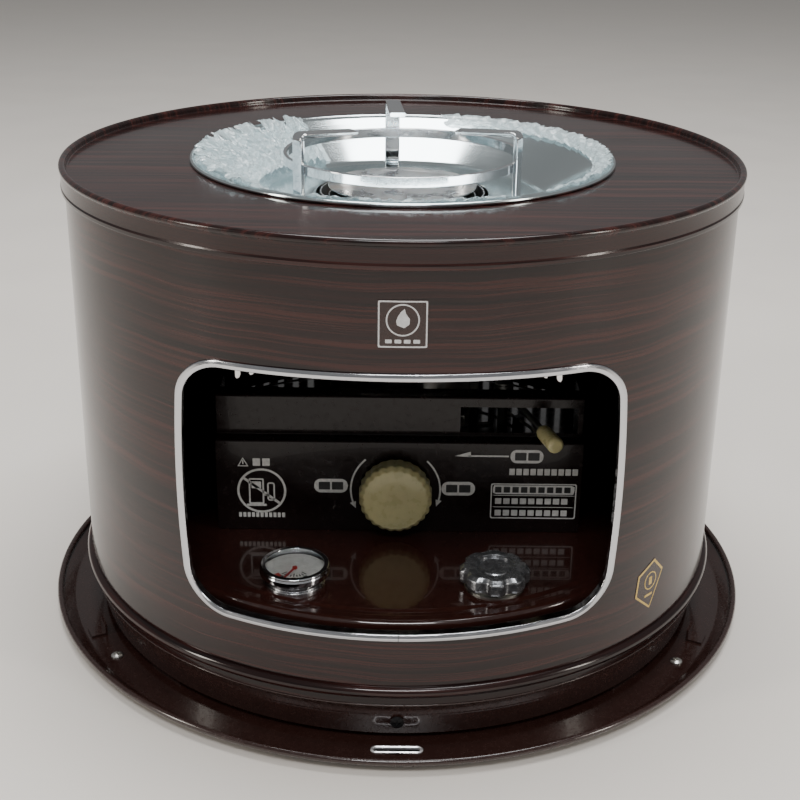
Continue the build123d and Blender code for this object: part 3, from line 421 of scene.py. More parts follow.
def screw_head(turn, radius, height, head_r, rise, outwards):
    """A domed head in a unit disc (ring, spoke): its rise falls with the square of the
    distance, less a cross-shaped recess. Outwards turns its axis from up to radial."""
    ring = np.concatenate([np.linspace(1, 0.06, 15), [0]])
    spoke = np.linspace(0, 2 * pi, 64, endpoint=False)[:, None]
    u, v = ring * np.cos(spoke) * head_r, ring * np.sin(spoke) * head_r
    cross = (np.minimum(abs(u), abs(v)) < 0.13 * head_r) & (ring < 0.55)
    lift = rise * (0.35 + 0.65 * (1 - ring ** 2)) - 0.5 * rise * cross
    skirt = np.stack([u[:, :1], v[:, :1], 0 * u[:, :1]], -1)
    dome = np.concatenate([skirt, np.stack([u, v, lift], -1)], 1)
    foot = np.stack([u[:, :1] * 0, v[:, :1] * 0, u[:, :1] * 0], -1)
    dome = np.concatenate([foot, dome], 1)[::-1]
    angle = radians(turn)
    out = np.array([sin(angle), -cos(angle), 0])
    side = np.array([cos(angle), sin(angle), 0])
    up = np.array([0, 0, 1.0])
    axis, second = (out, up) if outwards else (up, out)
    place = radius * out + height * up
    first = side if outwards else -side
    return place + dome[..., :1] * first + dome[..., 1:2] * second + dome[..., 2:] * axis


black_screw, black_shader = finish("black_screw", Base_Color=(0.012, 0.012, 0.013, 1),
                                   Metallic=0.6)
worn(black_screw, black_shader, 700, (0.22, 0.45), relief=0.01)
steel_screw, steel_shader = finish("steel_screw", Base_Color=(0.62, 0.61, 0.58, 1), Metallic=1)
worn(steel_screw, steel_shader, 600, (0.2, 0.42), relief=0.01)

screw_low = reach("skirt_screws")[0]
screw_z = 14.0
screw_out_r = -screw_low[1]
screw_rise = 1.8
piece("skirt_screw_heads", "base", "black_screw", black_screw,
      *[(screw_head(turn, screw_out_r - screw_rise, screw_z, 3.4, screw_rise, True), True, False)
        for turn in (0, 120, 240)], stands_for=["skirt_screws"])
tray_screw_high = reach("tray_screws")[1]
tray_screw_r = 194.0
piece("tray_screw_heads", "base", "steel_screw", steel_screw,
      *[(screw_head(turn, tray_screw_r, tray_sheet, 3.4, tray_screw_high[2] - tray_sheet, False),
         True, False) for turn in (-55, 55, 168)], stands_for=["tray_screws"])

# --- Skirt ------------------------------------------------------------------------
# A ring of enamelled sheet under the casing, drawn in at a crease and standing on four
# feet. The casing sits on its turned-out upper edge.
skirt_high = reach("base_skirt")[1]
skirt_edge_r = skirt_high[0]
skirt_top = skirt_high[2]
skirt_r = skirt_edge_r - 2.9
skirt_foot_r = skirt_r - 3.0
skirt_foot_z = 4.6
skirt_crease_z = 17.0
skirt_sheet = 1.0
shelf_in_r = 150.0
skirt_profile = rounded([
    (skirt_foot_r - skirt_sheet, skirt_foot_z, 0.3), (skirt_foot_r, skirt_foot_z, 0.4),
    (skirt_r - 0.4, skirt_crease_z, 0.8), (skirt_r - 0.4, skirt_crease_z + 0.7, 0.5),
    (skirt_r, skirt_crease_z + 1.4, 0.6), (skirt_r, skirt_top - skirt_sheet, 0.5),
    (skirt_edge_r, skirt_top - skirt_sheet, 0.3), (skirt_edge_r, skirt_top, 0.3),
    (shelf_in_r, skirt_top, 0.3), (shelf_in_r, skirt_top - skirt_sheet, 0.3),
    (skirt_r - skirt_sheet, skirt_top - skirt_sheet, 0.3),
    (skirt_r - skirt_sheet, skirt_crease_z, 0.5)])


def slab(low, high, radius=0.4):
    """A box between two corners, its faces inset and its edges cut by that radius: the
    grid is a rounded rectangle carried up through a rounded profile."""
    low, high = np.array(low, float), np.array(high, float)
    loop = rounded([(low[0], low[1], radius), (high[0], low[1], radius),
                    (high[0], high[1], radius), (low[0], high[1], radius)])
    middle = (low[:2] + high[:2]) / 2
    half = (high[:2] - low[:2]) / 2
    grids = []
    for inset, height in ((half.min(), low[2]), (radius, low[2]),
                          (0.3 * radius, low[2] + 0.3 * radius),
                          (0, low[2] + radius), (0, high[2] - radius),
                          (0.3 * radius, high[2] - 0.3 * radius), (radius, high[2]),
                          (half.min(), high[2])):
        shrink = 1 - inset / half
        ring = middle + (loop - middle) * (shrink if inset < half.min() else 0)
        grids.append(np.column_stack([ring, np.full(len(ring), height)]))
    return np.stack(grids, 1)


def turned_to(points, turn):
    """Turns points about the stove's axis; an unturned piece stands at the front."""
    angle = radians(turn)
    spin = np.array([[cos(angle), sin(angle), 0], [-sin(angle), cos(angle), 0], [0, 0, 1]])
    return points @ spin


foot_r = skirt_foot_r - 4.0
skirt_feet = [(turned_to(slab((-13, -foot_r - 1, tray_sheet),
                              (13, -foot_r, skirt_crease_z)), turn), True, False)
              for turn in (45, 135, 225, 315)]
skirt_feet += [(turned_to(slab((-13, -foot_r - 5.6, skirt_crease_z - 2),
                               (13, -foot_r, skirt_crease_z)), turn), True, False)
               for turn in (45, 135, 225, 315)]
piece("skirt", "base", "brown_enamel", brown_enamel,
      (revolved(skirt_profile, 240), True, True), *skirt_feet, stands_for=["base_skirt"])

# --- Casing -----------------------------------------------------------------------
# A drum rolled from sheet steel printed with dark wood grain and lacquered. It has a
# window at the front, a bead rolled near its foot, and louvres and a hatch behind.


def wood_print(name, lacquer):
    """Printed grain: long wavering lines whose across-the-grain place is an attribute,
    dark brown with reddish streaks, under glossy lacquer."""
    material, shader = finish(name, Coat_Weight=0.25, Coat_Roughness=0.04, Specular_IOR_Level=0.32)
    place = step(material, "TexCoord").outputs["Object"]
    parts = step(material, "SeparateXYZ", {0: place})
    across = step(material, "Attribute", attribute_name="across").outputs["Fac"]
    drift = noise_on(material, 9, detail=2)
    wavered = step(material, "Math", {0: drift, 1: 0.010, 2: across},
                   operation="MULTIPLY_ADD").outputs[0]
    lines = []
    for along, fine, detail in ((9.0, 760.0, 4.0), (4.0, 260.0, 3.0)):
        scaled = [step(material, "Math", {0: value, 1: factor}, operation="MULTIPLY").outputs[0]
                  for value, factor in ((parts.outputs[0], along), (parts.outputs[1], along),
                                        (wavered, fine))]
        joined = step(material, "CombineXYZ", dict(enumerate(scaled)))
        noise = step(material, "TexNoise", {"Vector": joined.outputs[0], "Scale": 1.0,
                                            "Detail": detail, "Roughness": 0.6})
        lines.append(noise.outputs[0])
    mixed = step(material, "Math", {0: lines[1], 1: 0.55,
                                    2: step(material, "Math", {0: lines[0], 1: 0.45},
                                            operation="MULTIPLY").outputs[0]},
                 operation="MULTIPLY_ADD").outputs[0]
    tinted(material, shader, mixed, (0.38, (0.0050, 0.0020, 0.0020)),
           (0.50, (0.0150, 0.0052, 0.0046)), (0.58, (0.036, 0.0098, 0.0080)),
           (0.70, (0.052, 0.0150, 0.0110)))
    smear = noise_on(material, 14, detail=5)
    links = material.node_tree.links
    links.new(spread(material, smear, *lacquer), shader.inputs["Roughness"])
    peel = step(material, "Bump", {"Height": noise_on(material, 260, detail=1),
                                   "Strength": 1.0, "Distance": 0.006 * mm})
    links.new(peel.outputs[0], shader.inputs["Normal"])
    links.new(peel.outputs[0], shader.inputs["Coat Normal"])
    return material


casing_print = wood_print("casing_print", (0.10, 0.22))


def height_of(points):
    return points[:, 2]


label_t = 0.2
casing_r = -reach("side_label")[0][0] - label_t
casing_foot = reach("outer_casing")[0][2]
casing_top = reach("outer_casing")[1][2]
casing_sheet = 1.0
bead_z, bead_r = 33.7, 3.2
window_low, window_high = reach("window_trim")
trim_reach = 2.4          # the bright strip covers this much sheet round the window
trim_in = 1.6
window_half = window_high[0] - trim_reach
window_foot, window_top = window_low[2] + trim_reach, window_high[2] - trim_reach
side_bow, top_bow, corner_r = 3.5, 3.0, 20.0


def window_outline(grow, steps=14):
    """The window as seen from the front, moved out by grow: a rounded rectangle whose
    sides and top swell by parabolas, most at their middles."""
    half, low, high = (window_half - side_bow + grow, window_foot - grow,
                       window_top - top_bow + grow)
    radius = corner_r + grow
    flat = rounded([(half, low, radius), (half, high, radius), (-half, high, radius),
                    (-half, low, radius)], steps=steps)
    dense, longest_step = [], 6.0
    for before, here in zip(np.roll(flat, 1, axis=0), flat):
        short = np.linalg.norm(before - here) < longest_step
        shares = (0.0,) if short else np.linspace(0, 1, 40, endpoint=False)[::-1]
        dense += [here + (before - here) * share for share in shares]
    dense = smoothed(np.array(dense))
    x, z = dense.T
    level_share = (z - low) / (high - low)
    side_share = 1 - (2 * level_share - 1) ** 2
    return np.stack([x + side_bow * x / half * side_share,
                     z + top_bow * level_share * (1 - (x / half) ** 2)], -1)


def casing_radius(height):
    """The casing's outside: a plain cylinder but for its rolled bead."""
    return casing_r + np.sqrt(np.maximum(bead_r ** 2 - (height - bead_z) ** 2, 0))


def on_casing(flat):
    """Carries (angle, height) points on to the casing."""
    return around(flat[..., 0], casing_radius(flat[..., 1]), flat[..., 1])


front_half_turn = 42.0
front_low, front_high = 52.0, 215.0
vent_h, vent_w, vent_low = 46.0, 5.0, 68.0
vent_step, vent_first, vent_count = 3.6, 17.0, 7
vent_band_low, vent_band_high = 62.0, 120.0
hatch_high_corner = reach("battery_door")[1]
hatch_half_x = hatch_high_corner[0] + 0.5
hatch_half_turn = float(np.degrees(np.arcsin(hatch_half_x / casing_r)))
hatch_low_z, hatch_high_z = 64.0, hatch_high_corner[2] + 0.5
vent_start = 180 - vent_first - (vent_count - 0.5) * vent_step
vent_end = 180 - vent_first + 0.5 * vent_step
half_round = [np.linspace(0, front_half_turn, 29), np.linspace(front_half_turn, vent_start, 64),
              np.linspace(vent_start, vent_end, 6 * vent_count + 1),
              np.linspace(vent_end, 180 - hatch_half_turn, 3),
              np.linspace(180 - hatch_half_turn, 180, 9)]
half_round = np.unique(np.round(np.concatenate(half_round), 6))
casing_turns = np.concatenate([half_round, 360 - half_round[-2:0:-1]])
bead_rows = bead_z + bead_r * np.sin(np.radians(np.linspace(-90, 90, 13)))
casing_rows = np.unique(np.round(np.concatenate([
    [casing_foot, casing_foot + 0.5, bead_z - bead_r - 0.4], bead_rows,
    [bead_z + bead_r + 0.4, 44, front_low, 57, vent_band_low, hatch_low_z],
    np.linspace(hatch_low_z, vent_band_high, 12), [128, hatch_high_z],
    np.linspace(hatch_high_z, front_high, 13), [220, 232, 245, casing_top - 1, casing_top]]), 6))
cell_turn = (casing_turns + np.roll(casing_turns, -1)) / 2
cell_turn[-1] = (casing_turns[-1] + 360) / 2
cell_row = (casing_rows[1:] + casing_rows[:-1]) / 2
from_front = np.minimum(cell_turn, 360 - cell_turn)[:, None]
from_back = 180 - from_front
in_window = (from_front < front_half_turn) & (cell_row > front_low) & (cell_row < front_high)
in_vents = ((from_front > vent_start) & (from_front < vent_end)
            & (cell_row > vent_band_low) & (cell_row < vent_band_high))
in_hatch = (from_back < hatch_half_turn) & (cell_row > hatch_low_z) & (cell_row < hatch_high_z)
kept = ~(in_window | in_vents | in_hatch)


def kept_patches(turns, rows, kept, carry):
    """The cells of a grid that are kept, as one patch for each run along a column."""
    wrapped = np.append(turns, turns[0] + 360)
    for i in range(len(turns)):
        edges = np.flatnonzero(np.diff(np.r_[0, kept[i].astype(int), 0]))
        for start, end in edges.reshape(-1, 2):
            flat = np.stack(np.meshgrid(wrapped[i:i + 2], rows[start:end + 1], indexing="ij"), -1)
            yield carry(flat), False, False


casing_grids = list(kept_patches(casing_turns, casing_rows, kept, on_casing))
window_turns = np.concatenate([half_round[half_round <= front_half_turn + 1e-6][:0:-1] * -1,
                               half_round[half_round <= front_half_turn + 1e-6]])
window_rows = casing_rows[(casing_rows >= front_low - 1e-6) & (casing_rows <= front_high + 1e-6)]
window_loop = box_loop(window_turns, window_rows)
opening = window_outline(0)
opening = np.stack([np.degrees(np.arcsin(opening[:, 0] / casing_r)), opening[:, 1]], -1)
stretched = np.array([casing_r * pi / 180, 1.0])
opening = ray_loop(opening * stretched, window_loop * stretched) / stretched
casing_grids.append((on_casing(outline_patch(opening, window_loop, 6)[::-1]), True, False))
vent_rows = casing_rows[(casing_rows >= vent_band_low - 1e-6)
                        & (casing_rows <= vent_band_high + 1e-6)]
for side in (-1, 1):
    for k in range(vent_count):
        middle = 180 + side * (vent_first + vent_step * k)
        columns = middle + np.linspace(-0.5, 0.5, 7) * vent_step
        cell = box_loop(columns, vent_rows)
        middle_z = vent_low + vent_h / 2
        end_turn = np.degrees(vent_w / 2 / casing_r)
        flat_half = vent_h / 2 - vent_w / 2
        share = (cell - (middle, middle_z)) / (vent_step / 2, 1)
        inside = np.clip(share[:, 1], -flat_half, flat_half)
        over = (abs(cell[:, 1] - vent_band_low) < 1e-6) | (abs(cell[:, 1] - vent_band_high) < 1e-6)
        swing = np.arcsin(np.clip(share[:, 0], -1, 1))
        slot_x = np.where(over, np.sin(swing), np.sign(share[:, 0])) * end_turn
        slot_z = np.where(over, np.sign(share[:, 1]) * (flat_half + vent_w / 2 * np.cos(swing)),
                          inside)
        slot_loop = np.stack([middle + slot_x, middle_z + slot_z], -1)
        casing_grids.append((on_casing(outline_patch(slot_loop, cell, 2)[::-1]), True, False))
piece("casing", "base", "wood_print", casing_print, *casing_grids,
      stands_for=["outer_casing"], wall=casing_sheet, across=height_of)

# --- Window trim --------------------------------------------------------------------
# A strip of bright aluminium bent round the window's edge, its two ends meeting at
# the middle of the bottom. A narrow lip behind it holds it in the sheet.
trim_out = 1.6
trim_section = (
    rounded([(-trim_in, casing_r - 4.0, 0.2), (-0.1, casing_r - 4.0, 0.2),
             (-0.1, casing_r + 0.02, 0.0), (trim_reach, casing_r + 0.02, 0.1),
             (trim_reach, casing_r + trim_out - 0.5, 1.0), (0.5, casing_r + trim_out, 1.0),
             (-trim_in, casing_r + trim_out - 0.7, 0.9)]))


def even(outline, count):
    """The same outline in evenly spaced points."""
    closed = np.concatenate([outline, outline[:1]])
    length = np.r_[0, np.cumsum(np.linalg.norm(np.diff(closed, axis=0), axis=1))]
    share = np.linspace(0, length[-1], count, endpoint=False)
    return np.stack([np.interp(share, length, closed[:, k]) for k in (0, 1)], -1)


path = even(window_outline(0, steps=24), 560)
start = np.argmin(np.hypot(path[:, 0] - 0.0, path[:, 1] - window_foot))
path = np.roll(path, -start, axis=0)
path = np.concatenate([[[0.16, window_foot]], path[1:], [[-0.16, window_foot]]])
along = np.gradient(path, axis=0)
along /= np.linalg.norm(along, axis=1)[:, None]
outward = np.stack([along[:, 1], -along[:, 0]], -1)
trim_flat = path[:, None] + outward[:, None] * trim_section[None, :, :1]
trim_r = np.broadcast_to(trim_section[:, 1], trim_flat.shape[:2])
trim_x = trim_flat[..., 0]
trim_grid = np.stack([trim_x, -np.sqrt(trim_r ** 2 - trim_x ** 2), trim_flat[..., 1]], -1)
end_caps = [np.repeat(trim_grid[k].mean(axis=0)[None, None], trim_grid.shape[1], 1)
            for k in (0, -1)]
trim_grid = np.concatenate([end_caps[0], trim_grid, end_caps[1]])
bright_trim, trim_shader = finish("bright_trim", Base_Color=(0.62, 0.63, 0.66, 1), Metallic=1)
worn(bright_trim, trim_shader, 120, (0.08, 0.2), relief=0.008, stretch=(1, 1, 6))
piece("window_strip", "base", "bright_trim", bright_trim, (trim_grid, False, True),
      stands_for=["window_trim"])

# --- Lid ----------------------------------------------------------------------------
# Pressed from the same printed sheet: a flat plate sunk inside a rolled bead, a short
# skirt over the casing's top, and a flanged hole for the bowl.
lid_low, lid_high = reach("top_plate")
lid_top, lid_foot = lid_high[2], lid_low[2]
lid_bead_r = 2.0
lid_bead_x = lid_high[0] - lid_bead_r
plate_z = lid_top - 4.0
hole_r = 116.0
lid_rim = np.concatenate([
    rounded([(lid_bead_x + 0.1, lid_foot, 0.0), (lid_bead_x + 1.4, lid_foot, 0.6),
             (lid_bead_x + 1.6, lid_foot + 2.2, 0.8), (lid_bead_x + 1.2, lid_foot + 3.2, 0.8),
             (lid_bead_x + 1.2, lid_top - 4.2, 0.0)], closed=False),
    arc((lid_bead_x, lid_top - lid_bead_r), lid_bead_r, -50, 170, 29),
    rounded([(lid_bead_x - 2.0, lid_top - 2.6, 0.0), (lid_bead_x - 2.2, plate_z, 1.2),
             (hole_r, plate_z, 1.0), (hole_r, plate_z - 4.0, 0.2),
             (hole_r + 1.0, plate_z - 4.0, 0.2), (hole_r + 1.0, plate_z - 1.0, 0.6),
             (lid_bead_x - 0.9, plate_z - 1.0, 0.0)], closed=False)])


def lid_grain(points):
    """The plate's print runs from side to side and the skirt's round the stove."""
    return np.where(points[:, 2] > plate_z - 1.5, points[:, 1], points[:, 2])


lid_print = wood_print("lid_print", (0.12, 0.24))
piece("lid", "base", "wood_print", lid_print, (revolved(lid_rim, 360), True, True),
      stands_for=["top_plate"], across=lid_grain)

# --- Bowl ---------------------------------------------------------------------------
# A shallow drip bowl spun from stainless sheet and polished, which hangs in the lid's
# hole by its rolled rim and has a collared hole for the burner.
bowl_low, bowl_high = reach("drip_bowl")
bowl_r, bowl_top, bowl_floor = bowl_high[0], bowl_high[2], bowl_low[2]
bowl_sheet = 0.8
roll_r = 1.2
roll_z = bowl_top - roll_r
floor_r = 82.0
collar_r = 50.0
collar_h = 2.4
bowl_profile = np.concatenate([
    arc((bowl_r - roll_r, roll_z), roll_r, -150, 150, 25),
    rounded([(bowl_r - 2.4, roll_z + 0.4, 0), (hole_r - 1.6, roll_z + 0.4, 2.5),
             (hole_r - 6.0, roll_z - 3.0, 6.0), (floor_r + 2, bowl_floor + bowl_sheet + 1, 8.0),
             (floor_r - 2, bowl_floor + bowl_sheet, 6.0),
             (collar_r + bowl_sheet, bowl_floor + bowl_sheet, 0.7),
             (collar_r + bowl_sheet, bowl_floor + collar_h, 0.3),
             (collar_r, bowl_floor + collar_h, 0.3), (collar_r, bowl_floor, 0.8),
             (floor_r - 2, bowl_floor, 6.0), (floor_r + 3, bowl_floor + 1, 8.0),
             (hole_r - 5.2, roll_z - 3.4, 6.0), (hole_r - 1.2, roll_z - 0.4, 2.0),
             (bowl_r - 2.4, roll_z - 0.4, 0)], closed=False, steps=8)])


def polished(name, colour, roughness, spin):
    """Bright sheet metal: faint circular or straight polishing marks and soft smears."""
    material, shader = finish(name, Base_Color=(*colour, 1), Metallic=1)
    place = step(material, "TexCoord").outputs["Object"]
    if spin:
        flat = step(material, "VectorMath", {0: place, 1: (1, 1, 0)}, operation="MULTIPLY")
        radius = step(material, "VectorMath", {0: flat.outputs[0]}, operation="LENGTH")
        place = step(material, "CombineXYZ", {2: radius.outputs["Value"]}).outputs[0]
    marks = step(material, "TexNoise", {"Vector": place, "Scale": 1400.0, "Detail": 3.0})
    smear = noise_on(material, 24, detail=5)
    both = step(material, "Math", {0: marks.outputs[0], 1: smear}, operation="MULTIPLY")
    links = material.node_tree.links
    links.new(spread(material, both.outputs[0], *roughness, start=0.15, end=0.4),
              shader.inputs["Roughness"])
    bump = step(material, "Bump", {"Height": marks.outputs[0], "Strength": 1.0,
                                   "Distance": 0.0012 * mm})
    links.new(bump.outputs[0], shader.inputs["Normal"])
    return material


bright_bowl = polished("bright_bowl", (0.70, 0.78, 0.80), (0.08, 0.22), spin=True)
piece("bowl", "bowl", "bright_bowl", bright_bowl, (revolved(bowl_profile, 300), True, True),
      stands_for=["drip_bowl"], sharp=60)

# --- Pot support --------------------------------------------------------------------
# Three chromed straps, each bent over at the top towards the middle, welded outside a
# flat ring. It stands in the bowl and carries the pot or kettle.
chrome_strap = polished("chrome_strap", (0.78, 0.80, 0.82), (0.05, 0.16), spin=False)
ring_low, ring_high = reach("pot_support_ring")
leg_low, leg_high = reach("pot_support_legs")
ring_r = ring_high[0]
band_t = 2.2
strap_t, strap_w, strap_bend = 2.5, 9.0, 4.0
arm_end_r, arm_drop = 34.0, 2.0
support_turn = -5.2
band = rounded([(ring_r - band_t, ring_low[2], 0.5), (ring_r, ring_low[2], 0.5),
                (ring_r, ring_high[2], 0.5), (ring_r - band_t, ring_high[2], 0.5)])
piece("support_ring", "pot_support", "chrome_strap", chrome_strap,
      (revolved(band, 200), True, True), stands_for=["pot_support_ring"])


def carried(path, section, across, first, last):
    """A flat section (offset, width) carried along a path of points: the offset goes
    square to the path, the width along one fixed direction; both ends are closed."""
    along = np.gradient(path, axis=0)
    along /= np.linalg.norm(along, axis=1)[:, None]
    square = np.cross(across, along)
    grid = (path[:, None] + square[:, None] * section[None, :, :1]
            + across * section[None, :, 1:2])
    caps = [np.repeat(grid[k].mean(axis=0)[None, None], grid.shape[1], 1) for k in (0, -1)]
    return np.concatenate([caps[0], grid, caps[1]]), first, last


strap_section = rounded([(-strap_t / 2, -strap_w / 2, 0.7), (strap_t / 2, -strap_w / 2, 0.7),
                         (strap_t / 2, strap_w / 2, 0.7), (-strap_t / 2, strap_w / 2, 0.7)])
leg_r = ring_r + strap_t / 2
top_z = leg_high[2] - strap_t / 2
legs = []
for k in range(3):
    bent = rounded([(leg_r, leg_low[2], 0), (leg_r, top_z, strap_bend - strap_t / 2),
                    (arm_end_r, top_z - arm_drop, 0)], closed=False, steps=12)
    turn = 180 - support_turn + 120 * k
    path = around(turn, bent[:, 0], bent[:, 1])
    sideways = np.array([cos(radians(turn)), sin(radians(turn)), 0])
    legs.append(carried(path, strap_section, -sideways, False, True))
piece("support_legs", "pot_support", "chrome_strap", chrome_strap, *legs,
      stands_for=["pot_support_legs"])

# --- Burner -------------------------------------------------------------------------
# Three upright steel tubes on crossed pins over the wick, the middle one capped by a
# disc with a small lug. Heat has blued and dulled them a little.
burner_steel = aged("burner_steel", 60, (0.2, 0.42), (0.3, (0.42, 0.43, 0.45)),
                    (0.55, (0.60, 0.60, 0.60)), (0.75, (0.50, 0.45, 0.40)), relief=0.01,
                    Metallic=1)
disc_low, disc_high = reach("burner_top_disc")
disc_t, disc_r = 1.0, disc_high[0]
lug_h = disc_high[2] - disc_low[2] - disc_t
disc = rounded([(0, disc_low[2], 0), (disc_r, disc_low[2], 0.3),
                (disc_r, disc_low[2] + disc_t, 0.4),
                (disc_r - 7, disc_low[2] + disc_t, 1.0), (disc_r - 8, disc_low[2] + 0.6, 1.0),
                (0, disc_low[2] + 0.6, 0)], closed=False)
lug = slab((-3, -2.5, disc_low[2] + 0.5), (3, 2.5, disc_low[2] + disc_t + lug_h), 0.5)
piece("burner_disc", "burner", "burner_steel", burner_steel, (revolved(disc, 120), True, False),
      (lug, True, False), stands_for=["burner_top_disc"])
tube_sheet = 0.8
for node in ("burner_shell", "outer_flame_tube", "inner_flame_tube"):
    low, high = reach(node)
    wall = rounded([(high[0] - tube_sheet, low[2], 0.2), (high[0], low[2], 0.2),
                    (high[0], high[2], 0.2), (high[0] - tube_sheet, high[2], 0.2)], steps=2)
    piece(node + "_wall", "burner", "burner_steel", burner_steel,
          (revolved(wall, 120), True, True), stands_for=[node])

# --- Tank deck ----------------------------------------------------------------------
# The tank's upper pressing, gloss brown, seen through the window as the shelf that the
# gauge and the filler stand on. Its edge is rounded over and turned out to a seam.


def gloss(name, colour, roughness, **sockets):
    """Gloss paint: a clear coat over an even colour, with dust nibs and faint waves."""
    material, shader = finish(name, Coat_Roughness=0.03, **sockets)
    nibs = worn(material, shader, 260, roughness, relief=0.006, detail=7)
    tinted(material, shader, nibs, (0.3, colour), (0.75, tuple(1.5 * c for c in colour)))
    return material


brown_gloss = gloss("brown_gloss", (0.022, 0.0072, 0.0055), (0.08, 0.2), Coat_Weight=0.7)
deck_low, deck_high = reach("tank_top")
seam_z, deck_z, seam_r = deck_low[2], deck_high[2], deck_high[0]
tank_r = seam_r - 4.0
deck_hole_r = 37.0
deck = rounded([(tank_r - 1, seam_z, 0), (seam_r, seam_z, 0.3), (seam_r, seam_z + 1, 0.3),
                (tank_r, seam_z + 1, 0.6), (tank_r, deck_z, 3.4), (tank_r - 7, deck_z, 0.6),
                (tank_r - 8.2, deck_z - 0.9, 0.9), (tank_r - 11, deck_z - 0.9, 1.2),
                (tank_r - 13, deck_z, 1.2), (deck_hole_r, deck_z, 0.3),
                (deck_hole_r, deck_z - 1, 0.3), (tank_r - 5, deck_z - 1.8, 0.5),
                (tank_r - 1, deck_z - 5, 1.0)], steps=6)
piece("deck", "base", "brown_gloss", brown_gloss, (revolved(deck, 300), True, True),
      stands_for=["tank_top"])

# --- Control panel ------------------------------------------------------------------
# One folded sheet in gloss brown behind the window: a face with a ledge on top, a set
# back strip with the lever's slot, and a side turned back at each end.
panel_low, panel_high = reach("control_panel")
panel_front, panel_half = panel_low[1], panel_high[0]
panel_foot, panel_top = panel_low[2], panel_high[2]
ledge_z = panel_top - 24.0
panel_step = 8.0
slot_left, slot_right = 34.0, 100.0
slot_foot, slot_head = ledge_z + 2.5, ledge_z + 18.0
fold = rounded([(panel_front, panel_foot, 0), (panel_front, ledge_z, 1.3),
                (panel_front + panel_step, ledge_z, 0.9), (panel_front + panel_step, slot_foot, 0),
                (panel_front + panel_step, slot_head, 0),
                (panel_front + panel_step, panel_top, 1.3),
                (panel_front + panel_step + 12, panel_top, 0)], closed=False)
fold = np.insert(fold, 1, np.linspace(fold[0], fold[1], 10)[1:-1], axis=0)
panel_columns = np.concatenate([np.linspace(-panel_half, slot_left, 24),
                                np.linspace(slot_left, slot_right, 16)[1:], [panel_half]])
slot_rows = [int(np.argmin(abs(fold[:, 1] - z) + abs(fold[:, 0] - panel_front - panel_step)))
             for z in (slot_foot, slot_head)]


def panel_patch(columns, rows):
    """The folded profile carried straight across the stove."""
    columns, rows = np.asarray(columns), fold[rows[0]:rows[1] + 1]
    return np.stack(np.broadcast_arrays(columns[:, None], rows[:, 0], rows[:, 1]), -1)


last = len(fold) - 1
left_columns = panel_columns[panel_columns <= slot_left]
panel_grids = [panel_patch(panel_columns, (0, slot_rows[0])),
               panel_patch(panel_columns, (slot_rows[1], last)),
               panel_patch(left_columns, slot_rows),
               panel_patch([slot_right, panel_half], slot_rows)]
side_y = np.array([panel_front + 1.0, panel_front + 40.0])
for side in (-1, 1):
    sheet = np.array([[[side * panel_half, y, z] for z in (panel_foot, ledge_z - 0.6)]
                      for y in side_y[::side]])
    upper = np.array([[[side * panel_half, max(y, panel_front + panel_step + 1), z]
                       for z in (ledge_z - 0.6, panel_top - 0.5)] for y in side_y[::side]])
    panel_grids += [sheet, upper]
panel_paint = gloss("panel_paint", (0.0085, 0.0042, 0.0040), (0.16, 0.30),
                    Coat_Weight=0.12, Specular_IOR_Level=0.25)
piece("panel", "base", "brown_gloss", panel_paint,
      *[(grid, False, False) for grid in panel_grids], stands_for=["control_panel"], wall=1.0)

# --- Wick knob ----------------------------------------------------------------------
# Moulded in ivory plastic: 24 shallow flutes round its side and a domed face. It turns
# the shaft that raises and lowers the wick.


def plastic(name, colour, roughness, **sockets):
    """Moulded plastic: a fine sparkle of texture, light handling marks and a little
    light that passes below the surface."""
    material, shader = finish(name, Specular_IOR_Level=0.5, **sockets)
    grime = worn(material, shader, 180, roughness, relief=0.012, detail=7)
    tinted(material, shader, grime, (0.3, tuple(0.86 * c for c in colour)), (0.62, colour))
    return material


ivory_plastic = plastic("ivory_plastic", (0.55, 0.50, 0.255), (0.22, 0.38),
                        Subsurface_Weight=0.08, Subsurface_Scale=0.004, Coat_Weight=0.15,
                        Coat_Roughness=0.12)
knob_low, knob_high = reach("wick_knob")
knob_x, knob_z = (knob_low[0] + knob_high[0]) / 2, (knob_low[2] + knob_high[2]) / 2
knob_r = knob_high[0] - knob_x
knob_back, knob_face = knob_high[1], knob_low[1]
flutes, flute_depth = 24, 0.75
knob_profile = rounded([(3.2, 0, 0), (17.6, 0, 0.6), (19.8, 1.4, 1.0), (knob_r, 3.0, 1.0),
                        (knob_r - 0.25, knob_back - knob_face - 3.4, 1.6), (18.2, 13.2, 2.2),
                        (12.0, knob_back - knob_face - 0.4, 8.0), (0, knob_back - knob_face, 0)],
                       closed=False, steps=7)
knob_profile = np.concatenate([[[0, 0.6], [3.2, 0.6]], knob_profile])


def facing_front(points, x, y, z):
    """Stands a piece modelled upright about its own axis so that its top faces front."""
    return np.stack([x + points[..., 0], y - points[..., 2], z + points[..., 1]], -1)


knob_turn = np.radians(np.linspace(0, 360, flutes * 14, endpoint=False))[:, None]
side_share = np.clip((knob_profile[:, 0] - 15.5) / 3.6, 0, 1) ** 1.5
side_share *= np.clip((knob_profile[:, 1] - 1.0) / 1.5, 0, 1)
fluted_r = knob_profile[:, 0] - side_share * flute_depth * abs(np.cos(knob_turn * flutes / 2)) ** 3
knob_grid = np.stack([fluted_r * np.cos(knob_turn), fluted_r * np.sin(knob_turn),
                      np.broadcast_to(knob_profile[:, 1], fluted_r.shape)], -1)
knob_grid = facing_front(knob_grid, knob_x, knob_back, knob_z)
piece("knob", "knob", "ivory_plastic", ivory_plastic, (knob_grid[::-1], True, False),
      stands_for=["wick_knob"], sharp=50)

